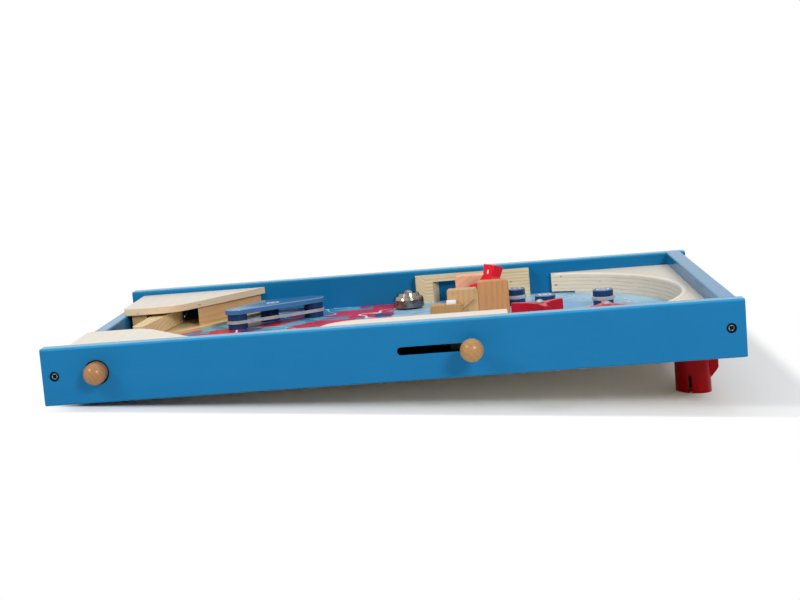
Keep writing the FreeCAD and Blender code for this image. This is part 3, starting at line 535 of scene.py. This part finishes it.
def makeWood(name, spec):
    material, tree, shader = newMaterial(name)
    vector = grainVector(tree, spec.get("along", 0.0), spec.get("shift", (0, 0, 0)), spec.get("upright", False))
    if "lean" in spec:  # the piece leans, and its grain with it
        lean = addNode(tree, "ShaderNodeMapping", vector_type="POINT")
        tree.links.new(vector, lean.inputs["Vector"])
        lean.inputs["Rotation"].default_value = (0.0, math.radians(spec["lean"]), 0.0)
        vector = lean.outputs["Vector"]
    grain = useGroup(tree, woodGrain, vector, Light=spec["light"], Dark=spec["dark"], Ring_Spacing=spec["spacing"],
                     Contrast=spec["contrast"], Fleck=spec["fleck"])
    tree.links.new(grain.outputs["Color"], shader.inputs["Base Color"])
    tree.links.new(ramp(tree, grain.outputs["Height"], 0.0, 1.0, 0.62, 0.46), shader.inputs["Roughness"])
    shader.inputs["Specular IOR Level"].default_value = 0.3
    addBump(tree, shader, grain.outputs["Height"], 0.3)
    return material


turnedWood = {
    "button": {"light": srgb(164, 116, 68), "dark": srgb(126, 80, 40)},
    "knob": {"light": srgb(168, 126, 72), "dark": srgb(132, 90, 44)},
    "spacing": 4.6,
    "along": 62.0,
    "shift": (4, 7, 3),
    "varnish": 0.6,
    "varnishRoughness": 0.25,
}


# turned and varnished: the button heads and the plunger's knob
def makeTurnedWood(name, piece):
    material, tree, shader = newMaterial(name)
    colours = turnedWood[piece]
    vector = grainVector(tree, turnedWood["along"], turnedWood["shift"])
    grain = useGroup(tree, woodGrain, vector, Light=colours["light"], Dark=colours["dark"],
                     Ring_Spacing=turnedWood["spacing"], Contrast=0.45, Fleck=0.3)
    tree.links.new(grain.outputs["Color"], shader.inputs["Base Color"])
    shader.inputs["Roughness"].default_value = 0.5
    shader.inputs["Specular IOR Level"].default_value = 0.2
    shader.inputs["Coat Weight"].default_value = turnedWood["varnish"]
    shader.inputs["Coat Roughness"].default_value = turnedWood["varnishRoughness"]
    addBump(tree, shader, grain.outputs["Height"], 0.15)
    return material


# plywood: colours of the face's grain and of the edge's layers and lines, layer spacing, and the grain's direction
sheets = {
    "coverPly": {"light": srgb(230, 222, 210), "dark": srgb(216, 204, 182), "pale": srgb(230, 208, 172),
                 "line": srgb(140, 104, 64), "spacing": 7.0, "width": 0.10, "strength": 0.42, "along": 90.0},
    "lanePly": {"light": srgb(232, 222, 208), "dark": srgb(218, 202, 176), "pale": srgb(222, 204, 170),
                "line": srgb(150, 112, 70), "spacing": 3.5, "width": 0.10, "strength": 0.40, "along": 0.0},
    "basePly": {"light": srgb(238, 218, 168), "dark": srgb(210, 182, 128), "pale": srgb(216, 196, 150),
                "line": srgb(130, 100, 62), "spacing": 1.5, "width": 0.16, "strength": 0.5, "along": 78.0},
}
# painted shade: the lane wall's side towards the plunger is near-black
sheets["channelPly"] = dict(sheets["lanePly"], channelShadeTo=39.2, channelShade=srgb(4, 8, 12))


def makeSheet(name, spec):
    material, tree, shader = newMaterial(name)
    vector = boardVector(tree)
    grain = useGroup(tree, woodGrain, grainVector(tree, spec["along"]), Light=spec["light"], Dark=spec["dark"],
                     Ring_Spacing=13.0, Contrast=0.35, Fleck=0.08)
    edge = useGroup(tree, layeredEdge, vector, Face=grain.outputs["Color"], Pale_Layer=spec["pale"],
                    Dark_Layer=spec["line"], Spacing=spec["spacing"], Line_Width=spec["width"],
                    Strength=spec["strength"])
    colour = edge.outputs["Color"]
    if "channelShadeTo" in spec:  # painted shade: the side towards the plunger is painted near-black
        towards = mathNode(tree, "LESS_THAN", splitVector(tree, vector)["Y"], spec["channelShadeTo"])
        colour = mixColour(tree, towards, colour, spec["channelShade"])
    tree.links.new(colour, shader.inputs["Base Color"])
    tree.links.new(ramp(tree, edge.outputs["Edge"], 0.0, 1.0, 0.40, 0.68), shader.inputs["Roughness"])
    shader.inputs["Specular IOR Level"].default_value = 0.3
    addBump(tree, shader, grain.outputs["Height"], 0.2)
    return material


archPine = {
    "top": srgb(224, 215, 200),
    "topDark": srgb(214, 205, 188),
    "face": srgb(234, 217, 194),
    "line": srgb(128, 102, 78),
    "spacing": 3.9,
    # painted highlight colour for the rounded rims and the line at the end rail
    "rim": srgb(232, 226, 214),
    "topHeight": 37.0,
    "centre": (426.9, 197.5, 0.0),  # of the ellipse that the inner face follows
    "halves": (143.9, 169.2),
    "band": 1.031,  # the places of the painted highlight band and the painted shade line, as shares of the ellipse
    "bandHighlight": srgb(236, 229, 214),
    "shadeLine": 1.042,
    "shadeColour": srgb(196, 178, 150),
    "jointLine": 572.6,
    "knots": [((466.0, 362.7, 33.7), 1.3, srgb(52, 34, 24)), ((476.5, 362.7, 22.1), 1.5, srgb(126, 92, 80)),
              ((460.0, 362.7, 24.4), 1.6, srgb(186, 122, 96))],
}


def makeArchPine():
    material, tree, shader = newMaterial("archPine")
    vector = boardVector(tree)
    grain = useGroup(tree, woodGrain, grainVector(tree, 0.0, (0, 5, 0)), Light=archPine["top"],
                     Dark=archPine["topDark"], Ring_Spacing=16.0, Contrast=0.45, Fleck=0.08)
    edge = useGroup(tree, layeredEdge, vector, Face=grain.outputs["Color"], Pale_Layer=archPine["face"],
                    Dark_Layer=archPine["line"], Spacing=archPine["spacing"], Line_Width=0.13, Strength=0.42)
    colour = edge.outputs["Color"]
    height = splitVector(tree, vector)["Z"]
    # painted highlight: the faces just below the rounded top rim are painted paler
    rim = mathNode(tree, "MULTIPLY", ramp(tree, height, archPine["topHeight"] - 2.2, archPine["topHeight"] - 1.0),
                   ramp(tree, edge.outputs["Edge"], 0.05, 0.4))
    colour = mixColour(tree, mathNode(tree, "MULTIPLY", rim, 0.6), colour, archPine["rim"])
    # on top, a painted highlight band follows the curve, with a thin painted shade line outside it
    halfLength, halfWidth = archPine["halves"]
    fromCentre = vectorMath(tree, "MULTIPLY", vectorMath(tree, "SUBTRACT", vector, archPine["centre"]),
                            (1 / halfLength, 1 / halfWidth, 0.0))
    reach = vectorMath(tree, "LENGTH", fromCentre)
    onTop = ramp(tree, edge.outputs["Edge"], 0.6, 0.3)
    band = mathNode(tree, "MULTIPLY", ramp(tree, reach, archPine["band"] + 0.005, archPine["band"] - 0.005), onTop)
    colour = mixColour(tree, mathNode(tree, "MULTIPLY", band, 0.75), colour, archPine["bandHighlight"])
    shade = mathNode(tree, "MULTIPLY", mathNode(tree, "COMPARE", reach, archPine["shadeLine"], 0.005), onTop)
    colour = mixColour(tree, mathNode(tree, "MULTIPLY", shade, 0.35), colour, archPine["shadeColour"])
    # painted highlight: a pale line where the end rail meets it
    sheen = mathNode(tree, "COMPARE", splitVector(tree, vector)["X"], archPine["jointLine"], 0.9)
    colour = mixColour(tree, mathNode(tree, "MULTIPLY", sheen, 0.55), colour, archPine["rim"])
    for place, radius, knotColour in archPine["knots"]:
        colour = mixColour(tree, spotMask(tree, vector, place, radius, (0.6, 0.3, 1.2)), colour, knotColour)
    tree.links.new(colour, shader.inputs["Base Color"])
    shader.inputs["Roughness"].default_value = 0.5
    shader.inputs["Specular IOR Level"].default_value = 0.3
    addBump(tree, shader, grain.outputs["Height"], 0.2)
    return material


bridgePine = {
    "light": srgb(228, 208, 170),
    "dark": srgb(184, 152, 106),
    "spacing": 3.4,
    "knot": (412.1, 357.0, 32.3),
    "knotColour": srgb(178, 120, 84),
    "bendFrom": 298.0,
    "bendTo": 322.0,
    "bendDrop": 24.0,
}


# the rings run level along the bridge and curve down round its low jamb
def makeBridgePine():
    material, tree, shader = newMaterial("bridgePine")
    vector = boardVector(tree)
    axes = splitVector(tree, vector)
    bend = ramp(tree, axes["X"], bridgePine["bendFrom"], bridgePine["bendTo"], 0.0, bridgePine["bendDrop"])
    bent = addNode(tree, "ShaderNodeCombineXYZ")
    for name, value in (("X", axes["X"]), ("Y", mathNode(tree, "ADD", axes["Z"], bend)), ("Z", axes["Y"])):
        tree.links.new(value, bent.inputs[name])
    grain = useGroup(tree, woodGrain, bent.outputs["Vector"], Light=bridgePine["light"], Dark=bridgePine["dark"],
                     Ring_Spacing=bridgePine["spacing"], Contrast=0.7, Fleck=0.06)
    knot = spotMask(tree, vector, bridgePine["knot"], 1.4, (0.7, 0.3, 1.2))
    tree.links.new(mixColour(tree, knot, grain.outputs["Color"], bridgePine["knotColour"]), shader.inputs["Base Color"])
    shader.inputs["Roughness"].default_value = 0.55
    shader.inputs["Specular IOR Level"].default_value = 0.3
    addBump(tree, shader, grain.outputs["Height"], 0.3)
    return material


# bright and dull colour, and how rough the metal is where it is bright and dull
metals = {
    "bellNickel": {"colour": srgb(156, 148, 138), "dull": srgb(106, 98, 90), "low": 0.11, "high": 0.22},
    "zinc": {"colour": srgb(178, 178, 176), "dull": srgb(140, 140, 138), "low": 0.22, "high": 0.36},
    "springSteel": {"colour": srgb(26, 27, 30), "dull": srgb(14, 15, 17), "low": 0.30, "high": 0.45},
}


def makeMetal(name, spec):
    material, tree, shader = newMaterial(name)
    vector = boardVector(tree)
    worn = ramp(tree, noise(tree, vector, 0.16, 4.0, 0.6), 0.35, 0.70)
    tree.links.new(mixColour(tree, worn, spec["colour"], spec["dull"]), shader.inputs["Base Color"])
    tree.links.new(ramp(tree, worn, 0.0, 1.0, spec["low"], spec["high"]), shader.inputs["Roughness"])
    shader.inputs["Metallic"].default_value = 1.0
    addBump(tree, shader, noise(tree, vector, 0.6, 3.0), 0.06)
    return material


railScrew = {
    "places": [(11.0, 25.5), (587.5, 25.5)],
    "headFaces": [1.6, 382.4],
    # painted highlight round the drive, and painted shade for the rest of the head
    "bright": srgb(150, 160, 160),
    "dark": srgb(12, 16, 20),
    "highlightRadius": 2.5,
}


# painted shade and painted highlight: the screw heads are near-black, as shade in their counterbores, with a painted
# highlight in patches round the drive
def makeRailScrew():
    material, tree, shader = newMaterial("railScrew")
    vector = boardVector(tree)
    nearest = None
    for x, z in railScrew["places"]:
        flat = vectorMath(tree, "MULTIPLY", vector, (1.0, 0.0, 1.0))
        away = vectorMath(tree, "DISTANCE", flat, (x, 0.0, z))
        nearest = away if nearest is None else mathNode(tree, "MINIMUM", nearest, away)
    bright = ramp(tree, nearest, railScrew["highlightRadius"] + 0.3, railScrew["highlightRadius"] - 0.3)
    depth = splitVector(tree, vector)["Y"]
    onFace = mathNode(tree, "MAXIMUM", *[mathNode(tree, "COMPARE", depth, y, 0.2) for y in railScrew["headFaces"]])
    bright = mathNode(tree, "MULTIPLY", bright, onFace)
    highlightPatches = ramp(tree, noise(tree, vector, 0.7, 2.0), 0.42, 0.58, 0.30, 1.0)
    colour = mixColour(tree, mathNode(tree, "MULTIPLY", bright, highlightPatches), railScrew["dark"], railScrew["bright"])
    tree.links.new(colour, shader.inputs["Base Color"])
    tree.links.new(ramp(tree, highlightPatches, 0.3, 1.0, 0.45, 0.28), shader.inputs["Roughness"])
    shader.inputs["Metallic"].default_value = 0.9
    return material


rubberBand = {
    "colour": srgb(206, 204, 210),
    "cloudy": srgb(182, 182, 192),
}


def makeRubberBand():
    material, tree, shader = newMaterial("rubberBand")
    cloudy = ramp(tree, noise(tree, boardVector(tree), 0.12, 3.0), 0.35, 0.7)
    tree.links.new(mixColour(tree, cloudy, rubberBand["colour"], rubberBand["cloudy"]), shader.inputs["Base Color"])
    shader.inputs["Roughness"].default_value = 0.32
    shader.inputs["Transmission Weight"].default_value = 0.35
    shader.inputs["IOR"].default_value = 1.4
    return material


# the printed sheet: patches of colour at the low end, pale blue with dots and rings at the high end
fieldPrint = {
    "sky": srgb(166, 206, 230),
    "skyDeep": srgb(118, 176, 216),
    "patches": [(0.00, srgb(200, 30, 66)), (0.26, srgb(70, 146, 190)), (0.50, srgb(212, 44, 62)),
                (0.66, srgb(104, 178, 204)), (0.78, srgb(50, 66, 118)), (0.86, srgb(200, 30, 66)),
                (0.93, srgb(228, 120, 76)), (0.97, srgb(236, 212, 104))],
    "patchSize": 22.0,
    "patchesTo": 286.0,
    "warp": 70.0,
    "shoreWave": 60.0,
    "white": srgb(240, 240, 236),
    "curveLevel": 0.47,
    "curveHalf": 0.006,
    "dotSpacing": 34.0,
    "dotRadius": 0.05,  # in dot spacings
    "ringRadius": 15.5,
    "ringHalf": 0.7,
    "ringCentres": [(414.7, 296.0), (442.8, 234.0), (500.5, 243.0), (302.8, 328.0)],
    "underside": srgb(232, 224, 206),
}


def makeFieldPrint():
    material, tree, shader = newMaterial("printedField")
    vector = boardVector(tree)
    axes = splitVector(tree, vector)
    flat = vectorMath(tree, "MULTIPLY", vector, (1.0, 1.0, 0.0))
    push = vectorMath(tree, "SUBTRACT", noise(tree, flat, 0.018, 2.0, 0.5, output="Color"), (0.5, 0.5, 0.5))
    push = vectorMath(tree, "MULTIPLY", push, (fieldPrint["warp"], fieldPrint["warp"], 0.0))
    warped = vectorMath(tree, "ADD", flat, push)
    cells = addNode(tree, "ShaderNodeTexVoronoi", voronoi_dimensions="2D")
    tree.links.new(warped, cells.inputs["Vector"])
    cells.inputs["Scale"].default_value = 1 / fieldPrint["patchSize"]
    pick = addNode(tree, "ShaderNodeValToRGB")
    tree.links.new(cells.outputs["Color"], pick.inputs["Fac"])
    pick.color_ramp.interpolation = "CONSTANT"
    pick.color_ramp.elements.remove(pick.color_ramp.elements[1])
    pick.color_ramp.elements[0].color = fieldPrint["patches"][0][1]
    for position, colour in fieldPrint["patches"][1:]:
        pick.color_ramp.elements.new(position).color = colour
    cloud = ramp(tree, noise(tree, flat, 0.010, 3.0), 0.35, 0.65)
    sky = mixColour(tree, cloud, fieldPrint["sky"], fieldPrint["skyDeep"])
    # a wavy shore between the patches and the pale blue
    wave = fieldPrint["shoreWave"]
    shore = mathNode(tree, "MULTIPLY_ADD", noise(tree, flat, 0.02, 2.0), wave, fieldPrint["patchesTo"] - wave / 2)
    high = mathNode(tree, "GREATER_THAN", axes["X"], shore)
    colour = mixColour(tree, high, pick.outputs["Color"], sky)
    # thin white curves through the patches
    contour = mathNode(tree, "SUBTRACT", noise(tree, flat, 0.016, 1.0), fieldPrint["curveLevel"])
    curves = mathNode(tree, "LESS_THAN", mathNode(tree, "ABSOLUTE", contour), fieldPrint["curveHalf"])
    curves = mathNode(tree, "MULTIPLY", curves, mathNode(tree, "SUBTRACT", 1.0, high))
    dots = addNode(tree, "ShaderNodeTexVoronoi", voronoi_dimensions="2D")
    tree.links.new(flat, dots.inputs["Vector"])
    dots.inputs["Scale"].default_value = 1 / fieldPrint["dotSpacing"]
    dots.inputs["Randomness"].default_value = 0.7
    inDot = mathNode(tree, "LESS_THAN", dots.outputs["Distance"], fieldPrint["dotRadius"])
    marks = mathNode(tree, "MAXIMUM", curves, mathNode(tree, "MULTIPLY", high, inDot))
    for x, y in fieldPrint["ringCentres"]:
        ring = useGroup(tree, ringMark, vector, Centre=(x, y, 0.0), Ring_Radius=fieldPrint["ringRadius"],
                        Half_Width=fieldPrint["ringHalf"], Dot_Radius=0.0)
        marks = mathNode(tree, "MAXIMUM", marks, ring.outputs["Mask"])
    colour = mixColour(tree, marks, colour, fieldPrint["white"])
    shape = addNode(tree, "ShaderNodeNewGeometry")
    printed = mathNode(tree, "GREATER_THAN", vectorMath(tree, "DOT_PRODUCT", shape.outputs["Normal"], boardUp), 0.5)
    tree.links.new(mixColour(tree, printed, fieldPrint["underside"], colour), shader.inputs["Base Color"])
    tree.links.new(ramp(tree, noise(tree, flat, 0.05, 3.0), 0.3, 0.7, 0.26, 0.36), shader.inputs["Roughness"])
    shader.inputs["Specular IOR Level"].default_value = 0.22
    return material


finishes = {railName: makeRailPaint(railName, *railSpec) for railName, railSpec in railFinishes.items()}
finishes |= {
    "bumperBlue": makeBlueEnamel("bumperBlue", ("colour", "thin"), 0.16, blueEnamel["bumperCentres"],
                                 blueEnamel["bumperTop"], 5.6, 0.9, 2.0),
    "triangleBlue": makeBlueEnamel("triangleBlue", ("plate", "plateThin"), 0.08, [blueEnamel["triangleMark"]],
                                   blueEnamel["triangleTop"], 5.6, 1.3, 2.4),
    "postBlue": makeEnamel("postBlue", blueEnamel["colour"], blueEnamel["thin"], 0.2, 0.2)[0],
    "spinnerRed": makeEnamel("spinnerRed", redEnamel["colour"], redEnamel["thin"], 0.3, 0.1)[0],
    "starRed": makeStarEnamel(),
    "footRed": makeFootPlastic(),
    "turnedBeech": makeTurnedWood("turnedBeech", "button"),
    "knobBeech": makeTurnedWood("knobBeech", "knob"),
    "archPine": makeArchPine(),
    "bridgePine": makeBridgePine(),
    "railScrew": makeRailScrew(),
    "rubberBand": makeRubberBand(),
    "printedField": makeFieldPrint(),
}
for woodName, woodSpec in woods.items():
    finishes[woodName] = makeWood(woodName, woodSpec)
for sheetName, sheetSpec in sheets.items():
    finishes[sheetName] = makeSheet(sheetName, sheetSpec)
for metalName, metalSpec in metals.items():
    finishes[metalName] = makeMetal(metalName, metalSpec)
print("materials made:", len(finishes))

# which nodes take which finish; the first entry that a node's name starts with counts
nodeFinishes = [
    ("railBlue", ("near_rail", "far_rail")),
    ("highRailBlue", ("high_end_rail",)),
    ("lowRailBlue", ("low_end_rail",)),
    ("railScrew", ("frame_screws",)),
    ("printedField", ("playfield",)),
    ("battenPine", ("foot_batten",)),
    ("zinc", ("foot_screws", "flipper_pins", "spinner_screws", "spinner_washers")),
    ("footRed", ("foot_",)),
    ("coverPly", ("flipper_cover",)),
    ("basePly", ("flipper_base",)),
    ("spacerNear", ("flipper_spacer_near",)),
    ("spacerFar", ("flipper_spacer_far",)),
    ("leverBeech", ("flipper_lever",)),
    ("blockBeech", ("flipper_end_block", "button_stop", "button_guide", "plunger_end_block")),
    ("springSteel", ("button_spring", "plunger_spring")),
    ("turnedBeech", ("button_",)),
    ("knobBeech", ("plunger_knob", "plunger_stem")),
    ("sliderPaintedShade", ("plunger_slider",)),
    ("lanePly", ("lane_cover",)),
    ("channelPly", ("lane_wall",)),
    ("archPine", ("arch_block",)),
    ("bridgePine", ("bridge_block",)),
    ("lowPlate", ("step_low",)),
    ("midPlate", ("step_mid",)),
    ("tallPlate", ("step_tall",)),
    ("pegWood", ("step_peg",)),
    ("backSalmon", ("back_block",)),
    ("postWood", ("star_post",)),
    ("bellNickel", ("bell_",)),
    ("triangleBlue", ("triangle_plate",)),
    ("postBlue", ("triangle_posts",)),
    ("rubberBand", ("triangle_band", "bumper_rings")),
    ("bumperBlue", ("bumper_post",)),
    ("spinnerRed", ("spinner_middle", "spinner_high")),
    ("starRed", ("star_wheel",)),
]


def setFinish(piece, material):
    piece.data.materials.clear()
    piece.data.materials.append(material)


for nodeName, nodeObject in nodes.items():
    finishName = next(name for name, starts in nodeFinishes if nodeName.startswith(starts))
    setFinish(nodeObject, finishes[finishName])
print("finishes set on", len(nodes), "nodes")

# the coil springs, which shorten as their button or the plunger is worked: the joint, its travel in mm and its
# direction; here each coil is fixed to the frame
springs = {
    "button_spring_near": {"joint": "button_near_push", "travel": 6.0, "towards": Vector((0, 1, 0))},
    "button_spring_far": {"joint": "button_far_push", "travel": 6.0, "towards": Vector((0, -1, 0))},
    "plunger_spring": {"joint": "plunger_pull", "travel": 59.5, "towards": boardTurn @ Vector((-1, 0, 0))},
}


def makeSpring(name):
    shape = bmesh.new()
    shape.from_mesh(nodes[name].data)
    bmesh.ops.remove_doubles(shape, verts=shape.verts, dist=0.00001)
    mesh = bpy.data.meshes.new(name + "Coil")
    shape.to_mesh(mesh)
    shape.free()
    mesh.shade_smooth()
    coil = bpy.data.objects.new(name + "Coil", mesh)
    bpy.context.scene.collection.objects.link(coil)
    setFinish(coil, finishes["springSteel"])
    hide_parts(name)
    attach(coil, "frame")
    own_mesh(coil)


for springName, springSpec in springs.items():
    makeSpring(springName)
print("springs made")

# a white pad on top of the low plate, against the middle one
stepPad = {
    "from": (344.8, 228.0, 31.0),
    "to": (354.6, 237.6, 34.2),
    "round": 1.2,
    "colour": srgb(238, 238, 234),
    "shade": srgb(206, 206, 200),
}


def makeStepPad():
    shape = bmesh.new()
    bmesh.ops.create_cube(shape, size=1.0)
    low, high = Vector(stepPad["from"]), Vector(stepPad["to"])
    size = high - low
    bmesh.ops.scale(shape, verts=shape.verts, vec=size)
    bmesh.ops.translate(shape, verts=shape.verts, vec=(low + high) / 2)
    rounded = [edge for edge in shape.edges if max(v.co.z for v in edge.verts) > high.z - 0.01]
    bmesh.ops.bevel(shape, geom=rounded, offset=stepPad["round"], segments=4, profile=0.5, affect="EDGES", material=-1)
    bmesh.ops.scale(shape, verts=shape.verts, vec=(mm, mm, mm))
    bmesh.ops.transform(shape, matrix=boardPlace, verts=shape.verts)
    mesh = bpy.data.meshes.new("stepPad")
    shape.to_mesh(mesh)
    shape.free()
    pad = bpy.data.objects.new("stepPad", mesh)
    bpy.context.scene.collection.objects.link(pad)
    material, tree, shader = newMaterial("padFelt")
    fibres = noise(tree, boardVector(tree), 1.4, 4.0, 0.7)
    colour = mixColour(tree, ramp(tree, fibres, 0.3, 0.7, 0.0, 0.25), stepPad["colour"], stepPad["shade"])
    tree.links.new(colour, shader.inputs["Base Color"])
    shader.inputs["Roughness"].default_value = 0.85
    addBump(tree, shader, fibres, 0.4, 0.0002)
    setFinish(pad, material)
    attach(pad, "frame")


makeStepPad()
print("step pad made")

surround = {
    "floorSize": 12.0,
    "floorLevel": -0.0002,
    "floorColour": srgb(246, 246, 245),
    "frontEdge": (-0.198, -0.206),
    "frontSlope": 0.012,
    "rightEdge": (0.366, 0.390),
    "leftEdge": (-0.262, -0.300),
    "backEdge": (0.20, 0.36),
    "skyOnObject": 0.42,
}


# 1 for what the camera sees, directly or in something shiny or clear, and 0 for light on the object
def seenDirectly(tree):
    lightPath = addNode(tree, "ShaderNodeLightPath")
    seen = mathNode(tree, "MAXIMUM", lightPath.outputs["Is Camera Ray"], lightPath.outputs["Is Glossy Ray"])
    return mathNode(tree, "MAXIMUM", seen, lightPath.outputs["Is Transmission Ray"])


# the floor keeps its shade near the object and is plain white beyond
def makeFloor():
    shape = bmesh.new()
    bmesh.ops.create_grid(shape, x_segments=1, y_segments=1, size=surround["floorSize"] / 2)
    bmesh.ops.translate(shape, verts=shape.verts, vec=(0, 0, surround["floorLevel"]))
    mesh = bpy.data.meshes.new("studioFloor")
    shape.to_mesh(mesh)
    shape.free()
    floor = bpy.data.objects.new("studioFloor", mesh)
    bpy.context.scene.collection.objects.link(floor)
    material, tree, shader = newMaterial("studioFloorPaper")
    shader.inputs["Base Color"].default_value = surround["floorColour"]
    shader.inputs["Roughness"].default_value = 0.7
    shader.inputs["Specular IOR Level"].default_value = 0.2
    coordinates = addNode(tree, "ShaderNodeTexCoord")
    axes = splitVector(tree, coordinates.outputs["Object"])
    forward = mathNode(tree, "MULTIPLY_ADD", axes["X"], -surround["frontSlope"], axes["Y"])
    away = ramp(tree, forward, *surround["frontEdge"])
    for axis, edge in (("X", "rightEdge"), ("X", "leftEdge"), ("Y", "backEdge")):
        away = mathNode(tree, "MAXIMUM", away, ramp(tree, axes[axis], *surround[edge]))
    white = addNode(tree, "ShaderNodeEmission")
    mix = addNode(tree, "ShaderNodeMixShader")
    tree.links.new(mathNode(tree, "MULTIPLY", away, seenDirectly(tree)), mix.inputs[0])
    tree.links.new(shader.outputs[0], mix.inputs[1])
    tree.links.new(white.outputs[0], mix.inputs[2])
    tree.links.new(mix.outputs[0], tree.nodes["Material Output"].inputs["Surface"])
    setFinish(floor, material)


def makeWorld():
    world = bpy.data.worlds.new("studioWorld")
    bpy.context.scene.world = world
    world.use_nodes = True
    tree = world.node_tree
    sky = tree.nodes["Background"]
    sky.inputs["Color"].default_value = (1, 1, 1, 1)
    strength = addNode(tree, "ShaderNodeMapRange")
    tree.links.new(seenDirectly(tree), strength.inputs["Value"])
    strength.inputs["To Min"].default_value = surround["skyOnObject"]
    strength.inputs["To Max"].default_value = 1.0
    tree.links.new(strength.outputs["Result"], sky.inputs["Strength"])


# soft boxes: the key from the right front, a small one from the left, a wide weak one overhead
lamps = {
    "keyLamp": {"place": (1.00, -1.75, 1.27), "aim": (0.0, 0.0, 0.03), "size": 0.50, "power": 24.0},
    "leftLamp": {"place": (-1.55, -1.10, 1.30), "aim": (0.0, 0.0, 0.03), "size": 0.55, "power": 17.0},
    "topLamp": {"place": (0.0, 0.4, 2.2), "aim": (0.0, 0.0, 0.0), "size": 2.2, "power": 10.2},
}


def makeLamp(name, spec):
    data = bpy.data.lights.new(name, "AREA")
    data.size = spec["size"]
    data.energy = spec["power"]
    lamp = bpy.data.objects.new(name, data)
    lamp.location = spec["place"]
    aim = Vector(spec["aim"]) - lamp.location
    lamp.rotation_euler = aim.to_track_quat("-Z", "Y").to_euler()
    bpy.context.scene.collection.objects.link(lamp)


camera = {
    "place": (0.067446, -1.480318, 0.275643),
    "down": 7.9496,
    "turn": 2.5999,
    "lens": 69.919,
    "sensor": 36.0,
    "reach": 50.0,
}


def makeCamera():
    data = bpy.data.cameras.new("mainCamera")
    data.sensor_width = camera["sensor"]
    data.lens = camera["lens"]
    data.clip_end = camera["reach"]
    eye = bpy.data.objects.new("mainCamera", data)
    eye.location = camera["place"]
    eye.rotation_euler = (math.radians(90 - camera["down"]), 0.0, math.radians(camera["turn"]))
    bpy.context.scene.collection.objects.link(eye)
    bpy.context.scene.camera = eye


makeFloor()
makeWorld()
for lampName, lampSpec in lamps.items():
    makeLamp(lampName, lampSpec)
makeCamera()
bpy.context.scene.view_settings.view_transform = "Standard"
print("studio ready")
